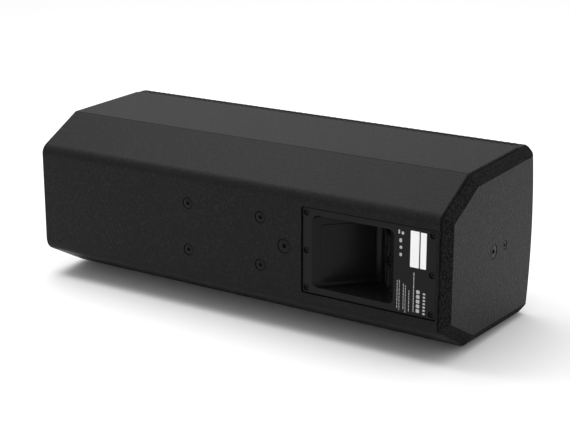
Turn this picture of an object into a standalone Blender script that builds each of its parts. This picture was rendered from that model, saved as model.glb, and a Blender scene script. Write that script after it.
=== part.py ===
"""Two-way install loudspeaker: two 8-inch woofers either side of a horn, in a bevelled cabinet on its side.

+X runs along the cabinet, -Y is the front with its grille, +Y is the rear, and +Z is up. The origin is the
middle of the base. Sections are drawn as (depth, height), with depth counted forwards from the rear face and
height from the cabinet's centre line. Everything hangs from one empty at the middle of the rear face, where y
is minus the depth.
"""

import math

import bmesh
import bpy
from mathutils import Matrix, Vector

GAP = 0.0003  # clearance between pieces that touch
OVER = 0.002  # how far a cutter stands over the face that it cuts

# Cabinet section and length
LENGTH = 0.714
DEPTH = 0.272
REAR_HALF = 0.0795  # half height of the flat rear face
CHAMFER_DEPTH = 0.079
SIDE_HALF = 0.1223  # half height where the chamfers meet the sides
SIDE_FLARE = 0.033  # rise of each side per metre of depth
SHELL_FRONT = 0.232  # depth of the shell's front edge
WALL = 0.015
BOW_RADIUS = 0.75  # the front of the caps and the grille is a shallow arc
REAR_ROUND, SIDE_ROUND, FRONT_ROUND = 0.019, 0.013, 0.009
LEAST_ROUND = 0.0005
ARC_STEPS, BOW_STEPS = 4, 5

# End caps
BEVEL_LENGTH, BEVEL_INSET, FRONT_BEVEL_INSET = 0.0124, 0.0175, 0.010
PLUG_LENGTH, PLUG_INSET, PLUG_FRONT_INSET = 0.012, WALL + GAP, 0.050
SHELL_HALF = LENGTH / 2 - BEVEL_LENGTH

# Baffle, braces and grille
BAFFLE_FRONT, BAFFLE_THICK = 0.226, 0.018
BRACE_X, BRACE_THICK, BRACE_RIM, BRACE_FRONT_INSET = 0.122, 0.014, 0.030, 0.072
GRILLE_INSET, GRILLE_BOW_INSET, GRILLE_THICK, GRILLE_BEND = 0.0022, 0.0015, 0.0015, 0.0075
GRILLE_FLANGE, FOAM_THICK, FOAM_FLANGE = SHELL_FRONT + 0.0006, 0.004, 0.243

# Woofers and horn
WOOFER_X, WOOFER_HOLE = 0.225, 0.0930
TURN_STEPS = 20
HORN_THROAT, HORN_LENGTH, HORN_WALL = 0.0127, 0.095, 0.003
HORN_MOUTH, HORN_FLANGE, HORN_HOLE = (0.078, 0.072), (0.098, 0.098), (0.084, 0.078)
HORN_HOLE_ROUND = 0.012
HORN_STEPS = 24

# Connector panel and dish
PANEL_X, PANEL_SIZE, PANEL_ROUND = -0.237, (0.2074, 0.1224), 0.003
PANEL_SINK, PANEL_THICK = 0.0025, 0.003
RECESS_GAP, RECESS_DEPTH = 0.0011, 0.0070
PANEL_SCREW_PITCH = (0.0975, 0.0543)
COUNTERBORE, COUNTERBORE_DEPTH = 0.0050, 0.0006
GASKET_INSET, GASKET_WINDOW = 0.0005, (0.1325, 0.113)
DISH_SHALLOW_X, DISH_FOLD_X, DISH_STEEP_X = -0.148, -0.216, -0.277
DISH_DEPTH, DISH_HALF, DISH_ROUND, DISH_FOLD_ROUND = 0.078, 0.052, 0.007, 0.008
WINDOW_STEEP, WINDOW_SHALLOW, WINDOW_SIDE = 0.002, 0.0015, 0.0045  # round the dish, in the shell
SOCKET_DEPTH, SOCKET_Z, SOCKET_HOLE = 0.034, 0.0225, 0.0124
SOCKET_FLANGE, SOCKET_FLANGE_ROUND, SOCKET_FLANGE_THICK = (0.026, 0.031), 0.004, 0.0025
SOCKET_BARREL, SOCKET_LENGTH, SOCKET_CAVITY, SOCKET_CAVITY_DEPTH = 0.0120, 0.020, 0.0102, 0.010

# Fasteners: head radius, head height, shank radius, shank length, hexagon across flats and its depth
M10 = (0.0100, 0.0055, 0.0050, 0.0290, 0.0060, 0.0035)
M8 = (0.0080, 0.0044, 0.0040, 0.0240, 0.0050, 0.0030)
M6 = (0.0060, 0.0033, 0.0030, 0.0290, 0.0040, 0.0025)
M4_PAN = (0.0040, 0.0022, 0.0020, 0.0100, 0.0025, 0.0013)
RIG_PITCH = (0.0635, 0.035)  # half of the 127 x 70 mm bracket pattern
RIG_SINGLE_X = -0.104
END_M10_DEPTH, END_M6_DEPTH = 0.139, 0.1743
RIG_PLATE_THICK, RIG_MARGIN, RIG_NEAR_MARGIN = 0.005, 0.015, 0.0075
END_PLATE_FRONT, END_PLATE_REAR, END_PLATE_HALF = 0.013, 0.022, 0.022

PAINT = ("cabinet_paint", (0.020, 0.020, 0.021), 0.62, 0.0)
CAP_PAINT = ("cap_paint", (0.016, 0.016, 0.017), 0.70, 0.0)
GRILLE_PAINT = ("grille_paint", (0.012, 0.012, 0.013), 0.55, 0.3)
MOULDED = ("moulded_plastic", (0.022, 0.022, 0.023), 0.45, 0.0)
SOCKET_PLASTIC = ("socket_plastic", (0.012, 0.012, 0.013), 0.35, 0.0)
BLACK_STEEL = ("black_steel", (0.030, 0.030, 0.031), 0.40, 0.9)
PLATED_STEEL = ("plated_steel", (0.55, 0.55, 0.53), 0.35, 1.0)
FERRITE = ("ferrite", (0.045, 0.043, 0.042), 0.60, 0.1)
PLYWOOD = ("plywood", (0.52, 0.38, 0.23), 0.70, 0.0)
FOAM = ("foam", (0.020, 0.020, 0.020), 0.95, 0.0)
PAPER = ("cone_paper", (0.030, 0.029, 0.028), 0.85, 0.0)
RUBBER = ("surround_rubber", (0.018, 0.018, 0.018), 0.60, 0.0)
CLOTH = ("spider_cloth", (0.48, 0.30, 0.12), 0.90, 0.0)
COPPER = ("coil_copper", (0.72, 0.36, 0.18), 0.35, 1.0)
TITANIUM = ("diaphragm_metal", (0.50, 0.49, 0.47), 0.35, 1.0)
CASTING = ("driver_casting", (0.060, 0.060, 0.062), 0.50, 0.8)
BOARD = ("circuit_board", (0.05, 0.16, 0.07), 0.50, 0.0)
FILM = ("component_film", (0.55, 0.46, 0.08), 0.35, 0.0)


def clear_scene():
    for obj in list(bpy.data.objects):
        bpy.data.objects.remove(obj)


def material_of(finish):
    name, colour, roughness, metallic = finish
    material = bpy.data.materials.get(name)
    if material:
        return material
    material = bpy.data.materials.new(name)
    material.use_nodes = True
    shader = material.node_tree.nodes["Principled BSDF"]
    shader.inputs["Base Color"].default_value = (*colour, 1)
    shader.inputs["Roughness"].default_value = roughness
    shader.inputs["Metallic"].default_value = metallic
    material.diffuse_color = (*colour, 1)
    return material


def empty(name, location, parent=None):
    obj = bpy.data.objects.new(name, None)
    obj.location = location
    obj.parent = parent
    bpy.context.collection.objects.link(obj)
    return obj


def place(name, mesh, finish, parent, location=(0, 0, 0), facing=None):
    """A named object. facing is the direction that the mesh's own +Z is turned to."""
    obj = bpy.data.objects.new(name, mesh)
    obj.location = location
    obj.parent = parent
    if facing:
        obj.rotation_euler = Vector(facing).to_track_quat("Z", "Y").to_euler()
    if finish:
        mesh.materials.clear()
        mesh.materials.append(material_of(finish))
    bpy.context.collection.objects.link(obj)
    return obj


def mesh_from(bm, name, smooth=True):
    bmesh.ops.remove_doubles(bm, verts=bm.verts, dist=1e-7)
    bmesh.ops.recalc_face_normals(bm, faces=bm.faces)
    mesh = bpy.data.meshes.new(name)
    bm.to_mesh(mesh)
    bm.free()
    if smooth:
        mesh.shade_smooth()
        mesh.set_sharp_from_angle(angle=math.radians(35))
    return mesh


def loft(name, loops, closed=False):
    """A skin through loops of as many points: capped at both ends, or closed round onto its first loop."""
    bm = bmesh.new()
    rings = [[bm.verts.new(point) for point in loop] for loop in loops]
    for a, b in zip(rings, rings[1:] + rings[:1] if closed else rings[1:]):
        for i in range(len(a)):
            j = (i + 1) % len(a)
            bm.faces.new((a[i], a[j], b[j], b[i]))
    if not closed:
        bm.faces.new(rings[0])
        bm.faces.new(rings[-1])
    return mesh_from(bm, name)


def turned(name, profile, steps=TURN_STEPS):
    """A solid of revolution round its own Y axis, from a profile of (radius, y) points."""
    bm = bmesh.new()
    verts = [bm.verts.new((radius, y, 0)) for radius, y in profile]
    edges = [bm.edges.new(pair) for pair in zip(verts, verts[1:])]
    if profile[0][0] or profile[-1][0]:
        edges.append(bm.edges.new((verts[-1], verts[0])))
    bmesh.ops.spin(
        bm, geom=verts + edges, axis=(0, 1, 0), cent=(0, 0, 0), angle=2 * math.pi, steps=steps, use_merge=True
    )
    return mesh_from(bm, name)


def box(name, low, high):
    bm = bmesh.new()
    bmesh.ops.create_cube(bm, size=1)
    size = Vector(high) - Vector(low)
    bmesh.ops.scale(bm, vec=size, verts=bm.verts)
    bmesh.ops.translate(bm, vec=(Vector(high) + Vector(low)) / 2, verts=bm.verts)
    return mesh_from(bm, name, smooth=False)


def cutter(target, mesh, parent, operation="DIFFERENCE", **placing):
    """Cuts a hidden helper out of the target, or joins it to the target."""
    helper = place(f"{target.name}.{mesh.name}", mesh, None, parent, **placing)
    helper.hide_render = True
    helper.display_type = "WIRE"
    modifier = target.modifiers.new(mesh.name, "BOOLEAN")
    modifier.operation = operation
    modifier.object = helper


def circle(radius, y, steps):
    turns = [2 * math.pi * i / steps for i in range(steps)]
    return [Vector((radius * math.cos(t), y, radius * math.sin(t))) for t in turns]


def rounded_rectangle(width, height, radius, steps=3):
    """Corner arcs of a rectangle centred on the origin, as (x, z) points."""
    points = []
    for corner, (sx, sz) in enumerate(((1, 1), (-1, 1), (-1, -1), (1, -1))):
        for i in range(steps + 1):
            turn = math.pi / 2 * (corner + i / steps)
            points.append(
                Vector(
                    (
                        sx * (width / 2 - radius) + radius * math.cos(turn),
                        sz * (height / 2 - radius) + radius * math.sin(turn),
                    )
                )
            )
    return points


def plate(name, width, height, radius, rear, front):
    """A rounded rectangular plate that faces +Y, between two depths."""
    outline = rounded_rectangle(width, height, radius)
    return loft(name, [[(p.x, -depth, p.y) for p in outline] for depth in (rear, front)])


# Cabinet sections


def meeting(p, u, q, v):
    """Where the line through p along u meets the line through q along v."""
    w = q - p
    return p + u * ((w.x * v.y - w.y * v.x) / (u.x * v.y - u.y * v.x))


def fillet(before, corner, after, radius, steps=ARC_STEPS):
    """The arc that rounds the corner between two straight runs."""
    a, b = (before - corner).normalized(), (after - corner).normalized()
    half = math.acos(max(-1, min(1, a.dot(b)))) / 2
    centre = corner + (a + b).normalized() * (radius / math.sin(half))
    first = corner + a * (radius / math.tan(half)) - centre
    last = corner + b * (radius / math.tan(half)) - centre
    start = math.atan2(first.y, first.x)
    sweep = math.remainder(math.atan2(last.y, last.x) - start, 2 * math.pi)
    turns = [start + sweep * i / steps for i in range(steps + 1)]
    return [centre + radius * Vector((math.cos(t), math.sin(t))) for t in turns]


def round_of(radius, inset):
    return max(radius - inset, LEAST_ROUND)


def side_lines(inset):
    """The rear corner, the side corner and the side's direction, upper half, moved inwards."""
    rear, side = Vector((0, REAR_HALF)), Vector((CHAMFER_DEPTH, SIDE_HALF))
    along_chamfer = (side - rear).normalized()
    along_side = Vector((1, SIDE_FLARE)).normalized()
    rear += inset * Vector((along_chamfer.y, -along_chamfer.x))
    side += inset * Vector((along_side.y, -along_side.x))
    rear_corner = meeting(Vector((inset, 0)), Vector((0, 1)), rear, along_chamfer)
    side_corner = meeting(rear, along_chamfer, side, along_side)
    return rear_corner, side_corner, along_side


def front_corner(inset, bow_inset):
    """Where the side meets the bowed front, and the direction of the front there."""
    _, side, along = side_lines(inset)
    centre = Vector((DEPTH - BOW_RADIUS, 0))
    reach = (side - centre).dot(along)
    rest = (side - centre).length_squared - (BOW_RADIUS - bow_inset) ** 2
    corner = side + along * (-reach + math.sqrt(reach * reach - rest))
    spoke = corner - centre
    return corner, Vector((spoke.y, -spoke.x)).normalized()


def bow(inset, bow_inset, radius):
    """The front from its upper corner to just above the centre line."""
    corner, along = front_corner(inset, bow_inset)
    _, side, _ = side_lines(inset)
    arc = fillet(side, corner, corner + along, radius)
    reach = BOW_RADIUS - bow_inset
    top = math.asin(arc[-1].y / reach)
    turns = [top * (1 - i / BOW_STEPS) for i in range(1, BOW_STEPS)]
    return arc + [Vector((DEPTH - BOW_RADIUS + reach * math.cos(t), reach * math.sin(t))) for t in turns]


def mirrored(points):
    return [Vector((p.x, -p.y)) for p in reversed(points)]


def outline(inset, bow_inset):
    """The whole section: rear, chamfers, sides and bowed front."""
    rear, side, along = side_lines(inset)
    upper = fillet(Vector((rear.x, 0)), rear, side, round_of(REAR_ROUND, inset))
    upper += fillet(rear, side, side + along, round_of(SIDE_ROUND, inset))
    upper += bow(inset, bow_inset, round_of(FRONT_ROUND, inset))
    return upper + [Vector((DEPTH - bow_inset, 0))] + mirrored(upper)


def open_path(inset, front):
    """The shell's section from its lower front edge, round the rear, to its upper front edge."""
    rear, side, along = side_lines(inset)
    edge = side + along * ((front - side.x) / along.x)
    upper = fillet(Vector((rear.x, 0)), rear, side, round_of(REAR_ROUND, inset))
    upper += fillet(rear, side, edge, round_of(SIDE_ROUND, inset)) + [edge]
    return mirrored(upper) + upper


def front_path(inset, bow_inset, flange, radius):
    """The grille's section: from its upper flange, over the bow, to its lower flange."""
    _, side, along = side_lines(inset)
    edge = side + along * ((flange - side.x) / along.x)
    upper = [edge] + bow(inset, bow_inset, radius)
    return upper + [Vector((DEPTH - bow_inset, 0))] + mirrored(upper)


def at_x(points, x):
    return [(x, -p.x, p.y) for p in points]


BASE_HEIGHT = max(p.y for p in outline(0, 0))  # of the centre line over the base


# Fasteners and their holes


def screw_mesh(name, size, steps=12):
    """A countersunk screw with a hexagon socket: its head's face is at z = 0 and its shank runs down -Z."""
    head, head_height, shank, length, across, socket = size
    turns = [2 * math.pi * i / steps for i in range(steps)]

    def ring(radius, z):
        return [(radius * math.cos(t), radius * math.sin(t), z) for t in turns]

    sixth = math.pi / 3
    reach = [across / 2 / math.cos(math.remainder(t - sixth / 2, sixth)) for t in turns]
    hexagon = [(r * math.cos(t), r * math.sin(t)) for r, t in zip(reach, turns)]
    return loft(
        name,
        [
            [(x, y, -socket) for x, y in hexagon],
            [(x, y, 0) for x, y in hexagon],
            ring(head, 0),
            ring(shank, -head_height),
            ring(shank, -length),
        ],
    )


def hole_mesh(name, size, at, outward, steps=12):
    """The space a screw needs, from 1 mm over its head, as a cutter in its place."""
    head, head_height, shank, length = size[:4]
    bm = bmesh.new()
    rings = []
    for radius, z in ((head, 0.001), (head, 0), (shank, -head_height), (shank, -length)):
        ring = bmesh.ops.create_circle(bm, radius=radius + GAP, segments=steps)["verts"]
        bmesh.ops.translate(bm, vec=(0, 0, z - GAP * (z < 0)), verts=ring)
        rings.append(ring)
    for a, b in zip(rings, rings[1:]):
        for i in range(steps):
            bm.faces.new((a[i], a[(i + 1) % steps], b[(i + 1) % steps], b[i]))
    bm.faces.new(rings[0])
    bm.faces.new(rings[-1])
    turn = Vector(outward).to_track_quat("Z", "Y").to_matrix().to_4x4()
    bmesh.ops.transform(bm, matrix=Matrix.Translation(at) @ turn, verts=bm.verts)
    return mesh_from(bm, name)


def merged(name, meshes):
    bm = bmesh.new()
    for mesh in meshes:
        bm.from_mesh(mesh)
        bpy.data.meshes.remove(mesh)
    mesh = bpy.data.meshes.new(name)
    bm.to_mesh(mesh)
    bm.free()
    return mesh


REAR = (0, 1, 0)
RIG_HOLES = [(sx * RIG_PITCH[0], -GAP, sz * RIG_PITCH[1]) for sx in (-1, 1) for sz in (-1, 1)]
RIG_SINGLE = (RIG_SINGLE_X, -GAP, 0)
PANEL_HOLES = [
    (PANEL_X + sx * PANEL_SCREW_PITCH[0], -PANEL_SINK - 0.0004, sz * PANEL_SCREW_PITCH[1])
    for sx in (1, -1)
    for sz in (1, 0, -1)
]


def screws(cabinet):
    m8, m10 = screw_mesh("screw_m8", M8), screw_mesh("screw_m10", M10)
    m6, m4 = screw_mesh("screw_m6", M6), screw_mesh("screw_m4", M4_PAN)
    for number, at in enumerate(RIG_HOLES, 1):
        place(f"rigging_screw_m8_{number}", m8, BLACK_STEEL, cabinet, at, REAR)
    place("rigging_screw_m10", m10, BLACK_STEEL, cabinet, RIG_SINGLE, REAR)
    for number, at in enumerate(PANEL_HOLES, 1):
        place(f"panel_screw_{number}", m4, BLACK_STEEL, cabinet, at, REAR)
    for side, end in (("left", -1), ("right", 1)):
        face = end * (LENGTH / 2 - GAP)
        place(f"end_screw_m10_{side}", m10, BLACK_STEEL, cabinet, (face, -END_M10_DEPTH, 0), (end, 0, 0))
        place(f"end_screw_m6_{side}", m6, BLACK_STEEL, cabinet, (face, -END_M6_DEPTH, 0), (end, 0, 0))


# Cabinet


def rear_hole_meshes():
    holes = [hole_mesh("hole", M8, at, REAR) for at in RIG_HOLES]
    return holes + [hole_mesh("hole", M10, RIG_SINGLE, REAR)]


def panel_pilot_meshes():
    return [hole_mesh("pilot", (M4_PAN[2], M4_PAN[1], M4_PAN[2], M4_PAN[3]), at, REAR) for at in PANEL_HOLES]


def cabinet_shell(cabinet):
    section = open_path(0, SHELL_FRONT) + open_path(WALL, SHELL_FRONT)[::-1]
    reach = SHELL_HALF - GAP
    shell = place("cabinet_shell", loft("shell", [at_x(section, -reach), at_x(section, reach)]), PAINT, cabinet)
    size = [side + 2 * RECESS_GAP for side in PANEL_SIZE]
    cutter(shell, plate("recess", *size, PANEL_ROUND, -OVER, RECESS_DEPTH), cabinet, location=(PANEL_X, 0, 0))
    low = (DISH_STEEP_X - WINDOW_STEEP, -WALL - OVER, -DISH_HALF - WINDOW_SIDE)
    high = (DISH_SHALLOW_X + WINDOW_SHALLOW, 0, DISH_HALF + WINDOW_SIDE)
    cutter(shell, box("dish_cutout", low, high), cabinet)
    cutter(shell, merged("holes", rear_hole_meshes() + panel_pilot_meshes()), cabinet)


def end_caps(cabinet):
    plug = outline(PLUG_INSET, PLUG_FRONT_INSET)
    rim, face = outline(0, 0), outline(BEVEL_INSET, FRONT_BEVEL_INSET)
    for side, end in (("left", -1), ("right", 1)):
        inner = SHELL_HALF - PLUG_LENGTH
        stations = ((plug, inner), (plug, SHELL_HALF), (rim, SHELL_HALF), (face, LENGTH / 2))
        cap = place(f"end_cap_{side}", loft("cap", [at_x(p, end * x) for p, x in stations]), CAP_PAINT, cabinet)
        out = (end, 0, 0)
        holes = [
            hole_mesh("hole", M10, (end * (LENGTH / 2 - GAP), -END_M10_DEPTH, 0), out),
            hole_mesh("hole", M6, (end * (LENGTH / 2 - GAP), -END_M6_DEPTH, 0), out),
        ]
        cutter(cap, merged("holes", holes), cabinet)


def rigging_plates(cabinet):
    rear = WALL + GAP
    low = (RIG_SINGLE_X - RIG_NEAR_MARGIN, -rear - RIG_PLATE_THICK, -RIG_PITCH[1] - RIG_MARGIN)
    high = (RIG_PITCH[0] + RIG_MARGIN, -rear, RIG_PITCH[1] + RIG_MARGIN)
    steel = place("rigging_plate_rear", box("rear_plate", low, high), PLATED_STEEL, cabinet)
    cutter(steel, merged("holes", rear_hole_meshes()), cabinet)
    for side, end in (("left", -1), ("right", 1)):
        near = SHELL_HALF - PLUG_LENGTH - GAP - RIG_PLATE_THICK
        far = near + RIG_PLATE_THICK
        ends = sorted((end * near, end * far))
        low = (ends[0], -END_M6_DEPTH - END_PLATE_FRONT, -END_PLATE_HALF)
        high = (ends[1], -END_M10_DEPTH + END_PLATE_REAR, END_PLATE_HALF)
        steel = place(f"rigging_plate_{side}", box("end_plate", low, high), PLATED_STEEL, cabinet)
        bores = [
            hole_mesh("bore", size, (end * LENGTH / 2, -depth, 0), (end, 0, 0))
            for size, depth in ((M10, END_M10_DEPTH), (M6, END_M6_DEPTH))
        ]
        cutter(steel, merged("bores", bores), cabinet)


def baffle(cabinet):
    half_x = SHELL_HALF - PLUG_LENGTH - RIG_PLATE_THICK - 3 * GAP
    _, side, along = side_lines(WALL + GAP)
    half_z = side.y + along.y / along.x * (BAFFLE_FRONT - BAFFLE_THICK - side.x)
    low, high = (-half_x, -BAFFLE_FRONT, -half_z), (half_x, -BAFFLE_FRONT + BAFFLE_THICK, half_z)
    board = place("front_baffle", box("baffle", low, high), PLYWOOD, cabinet)
    bore = [(0, -OVER), (WOOFER_HOLE, -OVER), (WOOFER_HOLE, BAFFLE_THICK + OVER), (0, BAFFLE_THICK + OVER)]
    for side_name, end in (("left", -1), ("right", 1)):
        cutter(board, turned(f"bore_{side_name}", bore), cabinet, location=(end * WOOFER_X, -BAFFLE_FRONT, 0))
    size = [2 * half for half in HORN_HOLE]
    depths = (BAFFLE_FRONT - BAFFLE_THICK - OVER, BAFFLE_FRONT + OVER)
    cutter(board, plate("horn_hole", *size, HORN_HOLE_ROUND, *depths), cabinet)


def braces(cabinet):
    rim = outline(WALL + GAP, BRACE_FRONT_INSET)
    window = outline(WALL + BRACE_RIM, BRACE_FRONT_INSET + BRACE_RIM)
    for side, end in (("left", -1), ("right", 1)):
        near, far = BRACE_X - BRACE_THICK / 2, BRACE_X + BRACE_THICK / 2
        stations = ((rim, near), (rim, far), (window, far), (window, near))
        mesh = loft("brace", [at_x(points, end * x) for points, x in stations], closed=True)
        place(f"brace_{side}", mesh, PLYWOOD, cabinet)


def grille(cabinet):
    reach = SHELL_HALF - GAP

    def sheet(name, inset, bow_inset, thick, flange, radius):
        outer = front_path(inset, bow_inset, flange, radius)
        inner = front_path(inset + thick, bow_inset + thick, flange, radius - thick)
        section = outer + inner[::-1]
        return loft(name, [at_x(section, -reach), at_x(section, reach)])

    steel = sheet("grille", GRILLE_INSET, GRILLE_BOW_INSET, GRILLE_THICK, GRILLE_FLANGE, GRILLE_BEND)
    place("front_grille", steel, GRILLE_PAINT, cabinet)
    behind = GRILLE_THICK + GAP
    insets = (GRILLE_INSET + behind, GRILLE_BOW_INSET + behind)
    foam = sheet("foam", *insets, FOAM_THICK, FOAM_FLANGE, GRILLE_BEND - behind)
    place("grille_foam", foam, FOAM, cabinet)


# Connector panel


def dish_section(grow):
    """The V of the dish as (x, depth) points, with its fold rounded, grown outwards on both slopes."""
    shallow, fold = Vector((DISH_SHALLOW_X, PANEL_SINK)), Vector((DISH_FOLD_X, DISH_DEPTH))
    steep = Vector((DISH_STEEP_X, PANEL_SINK))
    floor, wall = (fold - shallow).normalized(), (fold - steep).normalized()
    floor_at = shallow + grow * Vector((-floor.y, floor.x)) * -1
    wall_at = steep + grow * Vector((wall.y, -wall.x)) * -1
    low = meeting(floor_at, floor, wall_at, wall)
    mouth = PANEL_SINK + (0.001 if grow else -0.004)
    level, across = Vector((0, mouth)), Vector((1, 0))
    first, last = meeting(level, across, floor_at, floor), meeting(level, across, wall_at, wall)
    return [first] + fillet(first, low, last, DISH_FOLD_ROUND + grow) + [last]


def dish_body(name, grow):
    half = DISH_HALF + grow
    section = dish_section(grow)
    bm = bmesh.new()
    face = bm.faces.new([bm.verts.new((p.x, -p.y, -half)) for p in section])
    raised = bmesh.ops.extrude_face_region(bm, geom=[face])["geom"]
    top = [item for item in raised if isinstance(item, bmesh.types.BMVert)]
    bmesh.ops.translate(bm, vec=(0, 0, 2 * half), verts=top)
    bmesh.ops.recalc_face_normals(bm, faces=bm.faces)
    rims = [edge for edge in bm.edges if abs(edge.verts[0].co.z - edge.verts[1].co.z) < 1e-9]
    bmesh.ops.bevel(
        bm, geom=rims, offset=DISH_ROUND + grow, segments=2, profile=0.5, affect="EDGES", material=-1
    )
    return mesh_from(bm, name)


def socket_place(z):
    """Where a socket sits on the steep wall, and the way it faces."""
    share = (DISH_DEPTH - SOCKET_DEPTH) / (DISH_DEPTH - PANEL_SINK)
    x = DISH_FOLD_X + share * (DISH_STEEP_X - DISH_FOLD_X)
    along = Vector((DISH_STEEP_X - DISH_FOLD_X, DISH_DEPTH - PANEL_SINK, 0)).normalized()
    return Vector((x, -SOCKET_DEPTH, z)), Vector((along.y, -along.x, 0))


def connector_panel(cabinet):
    mesh = plate("panel", *PANEL_SIZE, PANEL_ROUND, PANEL_SINK, PANEL_SINK + PANEL_THICK)
    mesh.transform(Matrix.Translation((PANEL_X, 0, 0)))
    panel = place("connector_panel", mesh, MOULDED, cabinet)
    cutter(panel, dish_body("dish_outside", PANEL_THICK), cabinet, operation="UNION")
    cutter(panel, dish_body("dish_inside", 0), cabinet)
    sink = (COUNTERBORE - GAP, COUNTERBORE_DEPTH, COUNTERBORE - GAP, COUNTERBORE_DEPTH)
    for name, size in (("screw_holes", M4_PAN), ("counterbores", sink)):
        cutter(panel, merged(name, [hole_mesh("hole", size, at, REAR) for at in PANEL_HOLES]), cabinet)
    low, high = -SOCKET_CAVITY_DEPTH, 3 * OVER
    for number, z in enumerate((SOCKET_Z, -SOCKET_Z), 1):
        at, out = socket_place(z)
        mesh = turned("bore", [(0, low), (SOCKET_HOLE, low), (SOCKET_HOLE, high), (0, high)])
        mesh.transform(Matrix.Rotation(math.pi / 2, 4, "X"))
        cutter(panel, mesh, cabinet, location=at, facing=out)
        plug_socket(cabinet, number, at, out)


def panel_gasket(cabinet):
    """A flat frame of foam between the panel and the floor of its recess."""
    outside = rounded_rectangle(*[side - 2 * GASKET_INSET for side in PANEL_SIZE], PANEL_ROUND)
    offset = Vector(((DISH_SHALLOW_X + DISH_STEEP_X) / 2 - PANEL_X, 0))
    window = [p + offset for p in rounded_rectangle(*GASKET_WINDOW, PANEL_ROUND)]
    rear, front = PANEL_SINK + PANEL_THICK + GAP, RECESS_DEPTH - GAP
    stations = ((outside, rear), (outside, front), (window, front), (window, rear))
    mesh = loft("gasket", [[(p.x, -depth, p.y) for p in points] for points, depth in stations], closed=True)
    gasket = place("panel_gasket", mesh, FOAM, cabinet, (PANEL_X, 0, 0))
    cutter(gasket, merged("pilots", panel_pilot_meshes()), cabinet)


def plug_socket(cabinet, number, at, out):
    """A flanged socket: its flange lies on the steep wall and its barrel passes through it."""
    outer = rounded_rectangle(*SOCKET_FLANGE, SOCKET_FLANGE_ROUND, steps=4)
    angles = [math.atan2(p.y, p.x) for p in outer]

    def ring(radius, z):
        return [(radius * math.cos(a), radius * math.sin(a), z) for a in angles]

    top = GAP + SOCKET_FLANGE_THICK
    loops = [
        ring(SOCKET_CAVITY, top - SOCKET_CAVITY_DEPTH),
        ring(SOCKET_CAVITY, top),
        [(p.x, p.y, top) for p in outer],
        [(p.x, p.y, GAP) for p in outer],
        ring(SOCKET_BARREL, GAP),
        ring(SOCKET_BARREL, -SOCKET_LENGTH),
    ]
    place(f"plug_socket_{number}", loft("socket", loops), SOCKET_PLASTIC, cabinet, at, out)


# Woofers: each empty is on the baffle's front face, and y is the distance behind it


def half_roll(centre, radius, lift, low, high, steps=6):
    """The arc of a roll that stands forwards, between two angles from the outer edge."""
    turns = [math.radians(low + (high - low) * i / steps) for i in range(steps + 1)]
    return [(centre + radius * math.cos(t), lift - radius * math.sin(t)) for t in turns]


def woofer(cabinet, side, x):
    axis = empty(f"woofer_axis_{side}", (x, -BAFFLE_FRONT, 0), cabinet)

    def piece(name, profile, finish, steps=TURN_STEPS):
        return place(f"woofer_{name}_{side}", turned(name, profile, steps), finish, axis)

    outside = [(0.104, -0.005), (0.104, -GAP), (0.0922, -GAP), (0.0922, 0.008), (0.070, 0.046), (0.070, 0.062)]
    inside = [(0.058, 0.066), (0.030, 0.066), (0.030, 0.062), (0.057, 0.060), (0.057, 0.049), (0.063, 0.049)]
    basket = piece("basket", outside + inside + [(0.066, 0.045), (0.0885, 0.006), (0.0925, -0.005)], CASTING)
    cutter(basket, basket_windows(), axis)
    piece("top_plate", [(0.027, 0.0663), (0.050, 0.0663), (0.050, 0.0743), (0.027, 0.0743)], PLATED_STEEL)
    piece("magnet", [(0.032, 0.0746), (0.055, 0.0746), (0.055, 0.0920), (0.032, 0.0920)], FERRITE)
    pole = [(0, 0.064), (0.0244, 0.064), (0.0244, 0.0923), (0.052, 0.0923), (0.052, 0.100), (0, 0.100)]
    piece("yoke", pole, PLATED_STEEL)
    piece("voice_coil", [(0.0252, 0.0365), (0.0260, 0.0365), (0.0260, 0.080), (0.0252, 0.080)], COPPER)
    cone_front = [(0.0775, -0.0049), (0.060, 0.0090), (0.042, 0.0250), (0.0263, 0.0380)]
    cone_back = [(0.0263, 0.0395), (0.042, 0.0265), (0.060, 0.0103), (0.0775, -0.0036)]
    piece("cone", cone_front + cone_back, PAPER)
    cap_back = [(0.0300, 0.0335), (0.0285, 0.0335), (0.020, 0.0268), (0.010, 0.0235), (0, 0.0225)]
    cap_front = [(0, 0.0215), (0.010, 0.0225), (0.020, 0.0257), (0.0300, 0.0325)]
    piece("dust_cap", cap_back + cap_front, PAPER)
    roll = half_roll(0.0865, 0.0080, -0.0057, 0, 180)
    under = half_roll(0.0865, 0.0072, -0.0054, 180, 0)
    lip_in, lip_out = [(0.0740, -0.0060), (0.0740, -0.0053)], [(0.0990, -0.0053), (0.0990, -0.0060)]
    piece("surround", roll + lip_in + under + lip_out, RUBBER)
    piece("spider", spider_profile(), CLOTH)


def basket_windows():
    """Six wedges that open the sides of a basket between its spokes."""
    count, size, reach, behind = 6, (0.060, 0.030, 0.052), 0.082, 0.028
    bm = bmesh.new()
    for i in range(count):
        made = bmesh.ops.create_cube(bm, size=1)["verts"]
        bmesh.ops.scale(bm, vec=size, verts=made)
        bmesh.ops.translate(bm, vec=(reach, behind, 0), verts=made)
        turn = Matrix.Rotation(2 * math.pi * (i + 0.5) / count, 4, "Y")
        bmesh.ops.rotate(bm, matrix=turn, cent=(0, 0, 0), verts=made)
    return mesh_from(bm, "windows", smooth=False)


def spider_profile():
    """A corrugated ring between the coil and the basket's ledge."""
    waves, thick, level, height = 2, 0.0006, 0.0476, 0.0012
    inner, outer = 0.0290, 0.0560
    count = 4 * waves
    radii = [outer + (inner - outer) * i / count for i in range(count + 1)]
    heights = [level + height * math.sin(math.pi / 2 * i) for i in range(count + 1)]
    front = list(zip(radii, heights))
    back = [(radius, height_at + thick) for radius, height_at in reversed(front)]
    lip_out, lip_in = [(0.0620, level)], [(0.0264, level), (0.0264, level + thick)]
    return lip_out + front + lip_in + back + [(0.0620, level + thick)]


# Horn and compression driver, on the same face


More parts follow.
